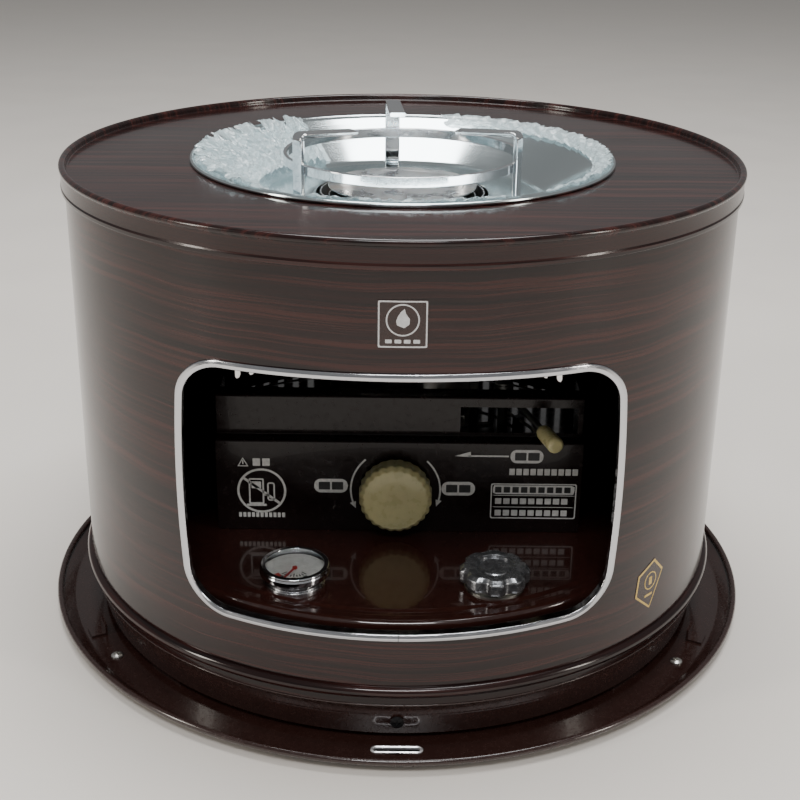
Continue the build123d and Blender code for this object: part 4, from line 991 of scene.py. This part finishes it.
# --- Ignition lever -----------------------------------------------------------------
# A zinc-plated strip reaches out through the panel's slot; an ivory sleeve with a
# round end is pressed on to it for the finger.
sleeve_low, sleeve_high = reach("lever_knob")
arm_turn = radians(-75.0)
pivot = np.array([62.0, -20.0, (sleeve_low[2] + sleeve_high[2]) / 2])
arm_way = np.array([cos(arm_turn), sin(arm_turn), 0])
arm_side = np.array([-sin(arm_turn), cos(arm_turn), 0])
sleeve_r = (sleeve_high[2] - sleeve_low[2]) / 2
sleeve_end = 87.0
sleeve_start = sleeve_end - 20.5
sleeve_profile = rounded([(0, sleeve_start, 0), (sleeve_r - 0.7, sleeve_start, 0.3),
                          (sleeve_r - 0.7, sleeve_start + 1.6, 0.2),
                          (sleeve_r - 0.15, sleeve_start + 1.8, 0.4),
                          (sleeve_r, sleeve_end, sleeve_r - 0.3), (0, sleeve_end, 0)],
                         closed=False, steps=9)
spin = np.linspace(0, 2 * pi, 56, endpoint=False)[:, None]
sleeve_grid = (pivot + sleeve_profile[None, :, 1:2] * arm_way
               + (sleeve_profile[:, 0] * np.cos(spin))[..., None] * arm_side
               + (sleeve_profile[:, 0] * np.sin(spin))[..., None] * np.array([0, 0, 1.0]))
piece("lever_sleeve", "lever", "ivory_plastic", ivory_plastic, (sleeve_grid, True, False),
      stands_for=["lever_knob"])

# --- Fuel gauge ---------------------------------------------------------------------
# A plastic cup sunk in the deck, a printed dial under a clear plastic lens, and a
# chromed bezel turned down over both. The marks on the dial are plain ticks.
bezel_low, bezel_high = reach("gauge_bezel")
gauge_x, gauge_y = (bezel_low[0] + bezel_high[0]) / 2, (bezel_low[1] + bezel_high[1]) / 2
bezel_r = (bezel_high[0] - bezel_low[0]) / 2
bezel_foot, bezel_top = bezel_low[2], bezel_high[2]
bezel_in = 15.6
bezel_profile = rounded([(bezel_r - 1.4, bezel_foot, 0.2), (bezel_r, bezel_foot, 0.6),
                         (bezel_r, bezel_foot + 3.0, 0.5), (bezel_r - 0.4, bezel_foot + 3.6, 0.5),
                         (bezel_r - 0.4, bezel_top, 1.1), (bezel_in, bezel_top, 0.8),
                         (bezel_in, bezel_top - 0.7, 0.2), (bezel_r - 1.4, bezel_top - 0.8, 0.2)])
chrome_bezel = polished("chrome_bezel", (0.74, 0.76, 0.80), (0.05, 0.15), spin=False)
piece("gauge_ring", "base", "chrome_strap", chrome_bezel,
      (revolved(bezel_profile, 96, (gauge_x, gauge_y)), True, True), stands_for=["gauge_bezel"])
housing_r = 15.0
drum_profile = rounded([(housing_r - 1.2, deck_z - 0.2, 0), (housing_r + 1.2, deck_z - 0.2, 0.2),
                        (housing_r + 1.2, deck_z + 1.4, 0.5), (housing_r, deck_z + 1.8, 0.5),
                        (housing_r, deck_z + 3.4, 0.4), (housing_r + 0.7, deck_z + 3.8, 0.3),
                        (housing_r + 0.7, deck_z + 4.6, 0.3), (housing_r, deck_z + 5.0, 0.3),
                        (housing_r, bezel_foot, 0), (housing_r - 1.2, bezel_foot, 0)])
drum_paint, drum_shader = finish("drum_paint", Base_Color=(0.62, 0.63, 0.65, 1), Metallic=1)
worn(drum_paint, drum_shader, 400, (0.16, 0.32), relief=0.006)
piece("gauge_drum", "base", "chrome_strap", drum_paint,
      (revolved(drum_profile, 96, (gauge_x, gauge_y)), True, True))
dial_low, dial_high = reach("gauge_dial")
dial_z = dial_high[2]
dial_white = aged("dial_white", 300, (0.35, 0.5), (0.3, (0.66, 0.66, 0.63)),
                  (0.6, (0.80, 0.80, 0.77)))
dial_ink = aged("dial_ink", 500, (0.35, 0.5), (0.3, (0.012, 0.012, 0.014)),
                (0.7, (0.03, 0.03, 0.03)))
dial_red = aged("dial_red", 500, (0.35, 0.5), (0.3, (0.46, 0.02, 0.014)),
                (0.7, (0.60, 0.04, 0.03)))
dial_profile = rounded([(0, dial_low[2], 0), (dial_high[0] - gauge_x, dial_low[2], 0.1),
                        (dial_high[0] - gauge_x, dial_z, 0.1), (0, dial_z, 0)], closed=False)
piece("dial", "base", "dial_white", dial_white,
      (revolved(dial_profile, 96, (gauge_x, gauge_y)), True, False), stands_for=["gauge_dial"])


def tick(radius_in, radius_out, turn, width, rise=0.12):
    """A printed bar on the dial, pointing at its centre, as a thin slab."""
    bar = slab((-width / 2, -radius_out, dial_z + 0.01), (width / 2, -radius_in, dial_z + rise),
               0.03)
    return turned_to(bar, turn) + np.array([gauge_x, gauge_y, 0]), True, False


piece("dial_ticks", "base", "dial_white", dial_ink,
      *[tick(6.4 if k % 4 else 5.0, 8.4, -50 + 12.5 * k, 0.6) for k in range(9)],
      *[tick(9.2, 12.4, -38 + 38 * k, 2.2) for k in range(3)],
      tick(13.0, 13.5, 26, 9.0))
piece("dial_red_mark", "base", "dial_white", dial_red, tick(9.2, 13.0, -52, 3.8))
lens_low, lens_high = reach("gauge_lens")
lens_r = lens_high[0] - gauge_x
clear_lens, lens_shader = finish("clear_lens", Base_Color=(0.97, 0.98, 0.98, 1), IOR=1.45,
                                 Transmission_Weight=1)
worn(clear_lens, lens_shader, 200, (0.02, 0.06), relief=0.002)
lens_profile = rounded([(0, lens_low[2], 0), (lens_r, lens_low[2], 0.2),
                        (lens_r, lens_high[2] - 0.3, 0.3),
                        (bezel_in - 1, lens_high[2], 1.0), (0, lens_high[2], 0)], closed=False)
piece("lens", "base", "clear_lens", clear_lens,
      (revolved(lens_profile, 96, (gauge_x, gauge_y)), True, False), stands_for=["gauge_lens"])

# --- Fuel cap -----------------------------------------------------------------------
# A die-cast screw cap, lacquered grey, scalloped into eight lobes for the fingers,
# with a round recess and a raised ring on top.
cap_low, cap_high = reach("fuel_cap")
cap_x, cap_y = 51.0, (cap_low[1] + cap_high[1]) / 2
cap_r, cap_top = 18.7, cap_high[2]
cap_foot = cap_top - 9.0
lobes, scallop_r, scallop_at = 8, 6.0, 22.7
dark_cap = aged("dark_cap", 260, (0.16, 0.34), (0.3, (0.16, 0.165, 0.175)),
                (0.7, (0.36, 0.37, 0.39)), relief=0.02, detail=6, Metallic=0.85)
cap_spin = np.linspace(0, 2 * pi, lobes * 20, endpoint=False)[:, None]
from_lobe = cap_spin % (2 * pi / lobes) - pi / lobes
cut = scallop_at * np.cos(from_lobe) - np.sqrt(
    np.maximum(scallop_r ** 2 - (scallop_at * np.sin(from_lobe)) ** 2, 0.0))
cut = np.where(scallop_at * abs(np.sin(from_lobe)) < scallop_r, np.minimum(cut, cap_r), cap_r)
cap_profile = rounded([(0, cap_foot, 0), (16.0, cap_foot, 0.4), (cap_r - 0.4, cap_foot + 0.4, 0.5),
                       (cap_r, cap_foot + 2.0, 0.8), (cap_r, cap_top - 2.2, 1.2),
                       (cap_r - 2.4, cap_top, 1.0), (11.6, cap_top, 0.4),
                       (11.0, cap_top - 0.5, 0.3), (10.0, cap_top - 0.5, 0.3),
                       (10.0, cap_top - 1.6, 0.3), (8.6, cap_top - 1.6, 0.3),
                       (8.0, cap_top - 0.9, 0.3), (0, cap_top - 0.7, 0)], closed=False)
lobe_share = np.clip((cap_profile[:, 0] - 11.0) / (cap_r - 11.0), 0, 1)
cap_reach = cap_profile[:, 0] - lobe_share * (cap_r - cut)
cap_grid = np.stack([cap_x + cap_reach * np.sin(cap_spin), cap_y - cap_reach * np.cos(cap_spin),
                     np.broadcast_to(cap_profile[:, 1], cap_reach.shape)], -1)
shank = rounded([(9.2, cap_low[2], 0.3), (10.2, cap_low[2], 0.3), (10.2, cap_foot + 0.2, 0),
                 (9.2, cap_foot + 0.2, 0)])
piece("cap", "fuel_cap", "dark_cap", dark_cap, (cap_grid, True, False),
      (revolved(shank, 60, (cap_x, cap_y)), True, True), stands_for=["fuel_cap"], sharp=30)

# --- Film in the bowl ---------------------------------------------------------------
# The thin clear film that the bowl was shipped in, crumpled round its wall and pushed
# up to its rim, stiff enough to hold its creases.
film, film_shader = finish("film", Base_Color=(0.80, 0.93, 0.96, 1), IOR=1.45, Alpha=0.5,
                           Transmission_Weight=0.35, Coat_Weight=0.6, Coat_Roughness=0.04)
worn(film, film_shader, 900, (0.05, 0.28), relief=0.25, detail=5)
chance = np.random.default_rng(7)


def bowl_wall(share):
    """Radius and height on the bowl's inside from its floor, 0, to its rim, 1."""
    ends = np.array([(floor_r, bowl_floor + bowl_sheet), (hole_r - 3.0, roll_z - 2.0),
                     (bowl_r - 1.0, bowl_top + 0.4)])
    along = np.array([0.0, 0.85, 1.0])
    return np.interp(share, along, ends[:, 0]), np.interp(share, along, ends[:, 1])


def ridged(u, v, count, reach):
    """Sharp folds: the highest of many tilted creases, each a line across (u, v) with a
    chance direction, scaled to between 0 and reach."""
    total = np.zeros(np.broadcast_shapes(u.shape, v.shape))
    for _ in range(count):
        way, phase, size = chance.uniform(0, pi), chance.uniform(0, 1), chance.uniform(3.5, 9)
        wave = (u * np.cos(way) + v * np.sin(way)) / size + phase
        total += abs(wave - np.round(wave)) * 2 * chance.uniform(0.4, 1)
    return reach * total / (count * 0.7)


def film_strip(name, first, last, low, high, rise):
    """A strip laid on the bowl's wall between two angles and two shares of its height,
    lifted off it by chance folds that die away at the edge it is tucked under."""
    turns = np.linspace(first, last, int((last - first) * 1.9))[:, None]
    tear = 1 + 0.13 * np.sin(turns * 0.61 + 1) + 0.09 * np.sin(turns * 1.83) \
        + 0.05 * np.sin(turns * 5.3)
    share = low + (high - low) * np.linspace(0, 1, 34)[None, :] * np.clip(tear, 0.6, 1.12)
    radius, height = bowl_wall(np.clip(share, 0, 1.0))
    length = turns * pi / 180 * 100
    lift = ridged(length, share * 40, 7, rise) + 0.35
    edge = np.clip(np.minimum(turns - first, last - turns) / 6, 0.15, 1)
    lift = lift * edge * np.clip((1.08 - share) * 9, 0.25, 1)
    points = around(turns, radius - 0.55 * lift, height + 0.85 * lift)
    made = piece(name, "bowl", None, film, (points, False, False), wall=0.06, sharp=12)
    return made


film_strip("film_left", 212, 322, 0.10, 0.96, 7.5)
film_strip("film_right", 38, 168, 0.76, 0.99, 4.5)
film_strip("film_front", -28, 30, 0.55, 1.0, 4.0)

# --- Hatch, badge and labels ----------------------------------------------------------
# The battery hatch is cut from the casing's sheet and printed like it, on a pinned
# hinge along its foot. The badge is foil, the labels are paper and gold film: their
# marks are plain shapes.
hatch_low, hatch_high = reach("battery_door")
hatch_turn = float(np.degrees(np.arcsin(hatch_high[0] / casing_r)))
notch_z = hatch_low[2] + 4.5
notch_in, notch_out = 12.2, 18.2
hatch_rows = np.unique(np.r_[hatch_low[2], notch_z, np.linspace(notch_z, hatch_high[2] - 0.1, 9)])
inner_turn, outer_turn = (float(np.degrees(np.arcsin(x / casing_r)))
                          for x in (notch_in, notch_out))
hatch_turns = 180 + np.unique(np.r_[np.linspace(-hatch_turn, hatch_turn, 25),
                                    -inner_turn, inner_turn, -outer_turn, outer_turn])
middle_turn = abs((hatch_turns[1:] + hatch_turns[:-1]) / 2 - 180)
solid = np.ones((len(hatch_turns) - 1, len(hatch_rows) - 1), bool)
solid[(middle_turn > inner_turn) & (middle_turn < outer_turn), 0] = False


def on_hatch(flat):
    """Carries (angle, height) points on to the hatch, whose face is the casing's."""
    return around(flat[..., 0], casing_r, flat[..., 1])


hatch_grids = []
for i, column in enumerate(solid):
    first_row = 0 if column[0] else 1
    flat = np.stack(np.meshgrid(hatch_turns[i:i + 2], hatch_rows[first_row:], indexing="ij"), -1)
    hatch_grids.append((on_hatch(flat), False, False))
piece("hatch_leaf", "hatch", "wood_print", casing_print, *hatch_grids,
      stands_for=["battery_door"], wall=1.0, across=height_of)

pull = slab((-9, casing_r - 0.6, hatch_high[2] - 7), (9, casing_r + 3, hatch_high[2] - 3), 1.0)
piece("hatch_pull", "hatch", "wood_print", casing_print, (pull, True, False), across=height_of)

badge_low, badge_high = reach("front_badge")
badge_z, badge_half = (badge_low[2] + badge_high[2]) / 2, (badge_high[0] - badge_low[0]) / 2
badge_dark = aged("badge_dark", 400, (0.18, 0.34), (0.3, (0.020, 0.010, 0.009)),
                  (0.7, (0.034, 0.015, 0.012)), relief=0.004, Metallic=0.3, Coat_Weight=0.4)
badge_silver = aged("badge_silver", 500, (0.28, 0.42), (0.3, (0.52, 0.52, 0.53)),
                    (0.7, (0.66, 0.66, 0.67)), Metallic=0.55)


def bent(flat, turn, height, out):
    """Lays a flat drawing (x to the right, z up, from its middle, in mm) on the casing
    about an angle and a height, its face that far out of the casing."""
    return around(turn + np.degrees(flat[..., 0] / casing_r), casing_r + out,
                  height + flat[..., 1])


def stuck(outline_in, outline_out, turn, height, out, foot=0.02):
    """A printed band between two outlines on the casing, with its edges closed."""
    return np.stack([bent(outline_out, turn, height, foot), bent(outline_out, turn, height, out),
                     bent(outline_in, turn, height, out), bent(outline_in, turn, height, foot)], 1)


def patch_on(outline, turn, height, out, foot=0.02, rings=5):
    """A filled patch on the casing: rings that shrink to the outline's middle."""
    middle = outline.mean(axis=0)
    loops = [bent(outline, turn, height, foot)]
    loops += [bent(middle + (outline - middle) * k / rings, turn, height, out)
              for k in range(rings, -1, -1)]
    return np.stack(loops, 1)


def box_outline(half_x, half_z, radius, middle=(0, 0)):
    """A rounded rectangle, anticlockwise, about a middle."""
    return rounded([(middle[0] + half_x, middle[1] - half_z, radius),
                    (middle[0] + half_x, middle[1] + half_z, radius),
                    (middle[0] - half_x, middle[1] + half_z, radius),
                    (middle[0] - half_x, middle[1] - half_z, radius)])


def circle(radius, middle=(0, 0), count=48):
    """A circle, anticlockwise."""
    return arc(middle, radius, 0, 360 * (1 - 1 / count), count)


badge_t = 0.35
piece("badge", "base", "badge_foil", badge_dark,
      (patch_on(even(box_outline(badge_half, badge_half, 0.4), 120), 0, badge_z, badge_t),
       True, False), stands_for=["front_badge"])
frame_in, frame_out = (even(box_outline(badge_half - k, badge_half - k, 0.3), 120)
                       for k in (1.0, 0.3))
emblem = [stuck(frame_in, frame_out, 0, badge_z, badge_t + 0.06),
          stuck(circle(7.0, (0, 2.0)), circle(7.7, (0, 2.0)), 0, badge_z, badge_t + 0.06)]
flame = np.array([(0.6, -3.4), (3.0, -1.6), (3.2, 1.0), (1.4, 3.4), (0.8, 5.8),
                  (-1.0, 4.2), (-2.2, 2.2), (-3.0, 0.0), (-2.6, -2.0)]) + (0, 1.6)
emblem.append(patch_on(even(flame, 60), 0, badge_z, badge_t + 0.06))
emblem += [patch_on(even(box_outline(1.5, 0.9, 0.2, (x, -8.2)), 24), 0, badge_z, badge_t + 0.06)
           for x in (-6.4, -2.1, 2.1, 6.4)]
piece("badge_marks", "base", "badge_foil", badge_silver,
      *[(grid, True, False) for grid in emblem[2:]],
      *[(grid, True, True) for grid in emblem[:2]])

sticker_turn, sticker_z = 45.0, 64.5
corners = np.array([(-11, 9), (3, 15.5), (12.5, 6), (1.5, -15.5), (-12.5, -4)], float)[::-1]
pentagon = even(rounded([(*corner, 0.6) for corner in corners][::-1]), 150)
if np.cross(pentagon[1] - pentagon[0], pentagon[30] - pentagon[0]) < 0:
    pentagon = pentagon[::-1]
gold_line = aged("gold_line", 400, (0.24, 0.4), (0.3, (0.52, 0.36, 0.10)),
                 (0.7, (0.70, 0.52, 0.19)), Metallic=0.8)
piece("sticker", "base", "gold_sticker", badge_dark,
      (patch_on(pentagon, sticker_turn, sticker_z, 0.15), True, False),
      stands_for=["inspection_sticker"])
sticker_marks = [stuck(0.86 * pentagon, 0.96 * pentagon, sticker_turn, sticker_z, 0.2),
                 stuck(circle(4.6, (0.6, 2.4)), circle(5.3, (0.6, 2.4)),
                       sticker_turn, sticker_z, 0.2)]
sticker_fill = [patch_on(even(box_outline(1.3, 2.4, 0.5, (0.6, 2.4)), 30),
                         sticker_turn, sticker_z, 0.2),
                patch_on(even(box_outline(3.4, 0.7, 0.2, (-0.4, -6.0)), 30),
                         sticker_turn, sticker_z, 0.2)]
piece("sticker_marks", "base", "gold_sticker", gold_line,
      *[(grid, True, True) for grid in sticker_marks],
      *[(grid, True, False) for grid in sticker_fill])

label_low, label_high = reach("side_label")
label_z, label_half_z = (label_low[2] + label_high[2]) / 2, (label_high[2] - label_low[2]) / 2
label_turn, label_half = -91.0, 33.0
paper_label = aged("paper_label", 300, (0.35, 0.5), (0.3, (0.74, 0.73, 0.66)),
                   (0.7, (0.84, 0.83, 0.78)), relief=0.005, Coat_Weight=0.25,
                   Coat_Roughness=0.2)
label_ink = aged("label_ink", 400, (0.35, 0.5), (0.3, (0.16, 0.045, 0.03)),
                 (0.7, (0.21, 0.06, 0.04)))
piece("label", "base", "paper_label", paper_label,
      (patch_on(even(box_outline(label_half, label_half_z, 1.5), 160),
                label_turn, label_z, label_t), True, False), stands_for=["side_label"])
label_bars = [(0.0, 15.5, 27.0, 4.0)] + [
    (x, 6.0 - 5.0 * row, half, 0.7)
    for row in range(5) for x, half in ((-14, 13), (15, 12 - row))]
piece("label_marks", "base", "paper_label", label_ink,
      *[(patch_on(even(box_outline(half_x, half_z, 0.3, (x, z)), 60),
                  label_turn, label_z, label_t + 0.04), True, False)
        for x, z, half_x, half_z in label_bars])

# --- Printed marks on the panel -------------------------------------------------------
# Screen-printed in white on the panel: two curved arrows round the knob, a long arrow to
# the lever, and signs. Words are left as plain bars.
print_white = aged("print_white", 500, (0.35, 0.5), (0.3, (0.62, 0.62, 0.60)),
                   (0.7, (0.80, 0.80, 0.78)))
print_t = 0.08


def on_panel(loop, out):
    """A flat loop (x, z) stood up along the panel's face, that far out of it."""
    return np.column_stack([loop[:, 0], np.full(len(loop), panel_front - out), loop[:, 1]])


def printed(outline, rings=3):
    """A filled shape (x, z) printed on the panel's face."""
    middle = outline.mean(axis=0)
    loops = [outline] + [middle + (outline - middle) * k / rings for k in range(rings, -1, -1)]
    depth = [0.0] + [print_t] * (rings + 1)
    return np.stack([on_panel(loop, out) for loop, out in zip(loops, depth)], 1), True, False


def printed_band(inner, outer):
    """A printed line between two outlines."""
    loops = ((outer, 0.0), (outer, print_t), (inner, print_t), (inner, 0.0))
    return np.stack([on_panel(loop, out) for loop, out in loops], 1), True, True


def bar(low_x, high_x, low_z, high_z, radius=0.2):
    """A printed bar between two corners."""
    return printed(even(box_outline((high_x - low_x) / 2, (high_z - low_z) / 2, radius,
                                    ((low_x + high_x) / 2, (low_z + high_z) / 2)), 40))


def frame_line(low_x, high_x, low_z, high_z, width, radius):
    """A printed frame with round corners."""
    middle = ((low_x + high_x) / 2, (low_z + high_z) / 2)
    half_x, half_z = (high_x - low_x) / 2, (high_z - low_z) / 2
    outer = even(box_outline(half_x, half_z, radius, middle), 120)
    inner = even(box_outline(half_x - width, half_z - width, max(radius - width, 0.1), middle),
                 120)
    return printed_band(inner, outer)


def curved_arrow(start, end, radius, width, head):
    """An arc of line about the knob that ends in an arrowhead."""
    way = np.sign(end - start)
    angle = np.linspace(start, end, 30)
    wide = np.full(30, width / 2)
    tip = end + way * np.degrees(head / radius)
    angle = np.r_[angle, end, tip]
    wide = np.r_[wide, head * 0.42, 0.02]
    sides = [np.stack([knob_x + (radius + s * wide) * np.cos(np.radians(angle)),
                       knob_z + (radius + s * wide) * np.sin(np.radians(angle))], -1)
             for s in (1, -1)]
    strip = np.stack([on_panel(side, out)
                      for side, out in ((sides[0], 0), (sides[0], print_t), (sides[1], print_t),
                                        (sides[1], 0))], 1)
    ends = [np.repeat(strip[k].mean(axis=0)[None, None], 4, 1) for k in (0, -1)]
    strip = np.concatenate([ends[0], strip, ends[1]])
    return strip if way < 0 else strip[::-1], False, True


prints = [curved_arrow(132, 198, 25.3, 1.0, 4.2), curved_arrow(46, -14, 25.3, 1.0, 4.2),
          bar(-48, -29, 90, 98.6, 4.2), bar(24, 43, 89, 97.6, 4.2),
          bar(62.2, 80.8, 109.6, 117.8, 4.0), bar(38.5, 61.6, 113.3, 114.2),
          printed(even(np.array([(31.1, 113.6), (40.0, 113.1), (40.0, 116.4)]), 40)),
          frame_line(52, 100.6, 74.8, 96.9, 0.7, 1.0), bar(53.2, 99.4, 90.2, 95.8, 0.3),
          bar(52.6, 100, 81.9, 82.3), bar(52.6, 100, 89.2, 89.6)]
prints += [bar(x, x + 3.1, 102.2, 106.2) for x in np.arange(62, 100, 3.95)]
prints += [bar(x, x + 3.6, 84.0, 87.6) for x in np.arange(54.6, 96, 4.7)]
prints += [bar(x, x + 3.6, 76.6, 80.2) for x in np.arange(54.6, 96, 4.7)]
prints += [bar(x, x + 1.7, 74.0, 76.9) for x in np.arange(-91, -66, 2.45)]
prints += [bar(x, x + 4.2, 106.2, 110.8) for x in (-82.4, -77.0)]
warn = even(np.array([(-91, 105.8), (-84.8, 105.8), (-87.9, 111.4)]), 60)
prints += [printed_band(warn.mean(axis=0) + 0.72 * (warn - warn.mean(axis=0)), warn),
           bar(-88.2, -87.6, 107.2, 109.6, 0.1)]
ring_middle = (-77.7, 90.7)
prints.append(printed_band(circle(12.6, ring_middle, 90), circle(13.9, ring_middle, 90)))
slash = np.array([(-12.8, -0.75), (12.8, -0.75), (12.8, 0.75), (-12.8, 0.75)])
slant = radians(-38)
slash = slash @ np.array([[cos(slant), sin(slant)], [-sin(slant), cos(slant)]]) + ring_middle
prints += [printed(even(slash, 60)), frame_line(-85.0, -76.4, 82.4, 98.4, 0.9, 0.8),
           bar(-83.4, -78.0, 92.2, 96.4), bar(-86.4, -75.0, 81.0, 82.4),
           frame_line(-74.6, -70.2, 84.4, 96.0, 0.9, 1.6), bar(-76.4, -73.6, 87.6, 88.6)]
piece("panel_marks", "base", "brown_gloss", print_white, *prints)

pill_words = [bar(x + 2.6 + 7.4 * k, x + 9.0 + 7.4 * k, z - 2.4, z + 2.4)
              for x, z in ((-48, 94.3), (24, 93.3), (62.2, 113.7)) for k in (0, 1)]
pill_words += [bar(x, x + 3.6, 91.2, 94.8) for x in np.arange(54.4, 97, 4.9)]
for grid, *_ in pill_words:
    grid[..., 1] -= 0.04
piece("panel_words", "base", "brown_gloss", dial_ink, *pill_words)

# --- Works behind the panel -----------------------------------------------------------
# Wick, tubes, brackets, igniter, float, cells and fixings, seen only through the window,
# the louvres or an open hatch, keep their engineered shapes and get their materials.


def metal(name, colour, roughness, scale=220, relief=0.015):
    """Bare or plated metal with wandering dullness and fine marks."""
    dark = tuple(0.78 * c for c in colour)
    return aged(name, scale, roughness, (0.3, dark), (0.65, colour), relief=relief,
                detail=7, Metallic=1)


def dull(name, colour, roughness, scale=300, relief=0.02):
    """A soft or moulded thing of one colour: cotton, rubber, cork, plastic, ceramic."""
    dark = tuple(0.75 * c for c in colour)
    return aged(name, scale, roughness, (0.3, dark), (0.65, colour), relief=relief, detail=6)


finishes = {
    "brown_enamel": brown_enamel, "brown_gloss": brown_gloss, "wood_print": casing_print,
    "tank_sheet": metal("tank_sheet", (0.36, 0.37, 0.36), (0.3, 0.5), 60),
    "steel_screw": steel_screw, "black_screw": black_screw,
    "zinc_sheet": metal("zinc_sheet", (0.46, 0.46, 0.43), (0.28, 0.48)),
    "wick_cotton": dull("wick_cotton", (0.62, 0.58, 0.48), (0.85, 0.95), 900, 0.2),
    "ivory_plastic": ivory_plastic,
    "brass_gear": metal("brass_gear", (0.60, 0.42, 0.16), (0.25, 0.42)),
    "bright_trim": bright_trim, "badge_foil": badge_dark, "paper_label": paper_label,
    "gold_sticker": badge_dark, "bright_bowl": bright_bowl, "chrome_strap": chrome_strap,
    "burner_steel": burner_steel,
    "glow_ceramic": dull("glow_ceramic", (0.70, 0.66, 0.58), (0.6, 0.8)),
    "black_plastic": dull("black_plastic", (0.018, 0.018, 0.019), (0.32, 0.5)),
    "dial_white": dial_white, "clear_lens": clear_lens,
    "needle_red": dull("needle_red", (0.55, 0.03, 0.02), (0.3, 0.45)),
    "float_cork": dull("float_cork", (0.36, 0.22, 0.12), (0.8, 0.95), 500, 0.3),
    "rubber_seal": dull("rubber_seal", (0.03, 0.03, 0.03), (0.6, 0.8)),
    "dark_cap": dark_cap,
    "cell_jacket": dull("cell_jacket", (0.05, 0.09, 0.22), (0.25, 0.4)),
    "lead_insulation": dull("lead_insulation", (0.60, 0.56, 0.46), (0.5, 0.65))}
slots = {part["node"]: part["material_slot"] for part in frame["record"]["subparts"]}
for node, carried_node in frame["nodes"].items():
    if node in slots:
        for place in carried_node.material_slots:
            place.material = finishes[slots[node]]
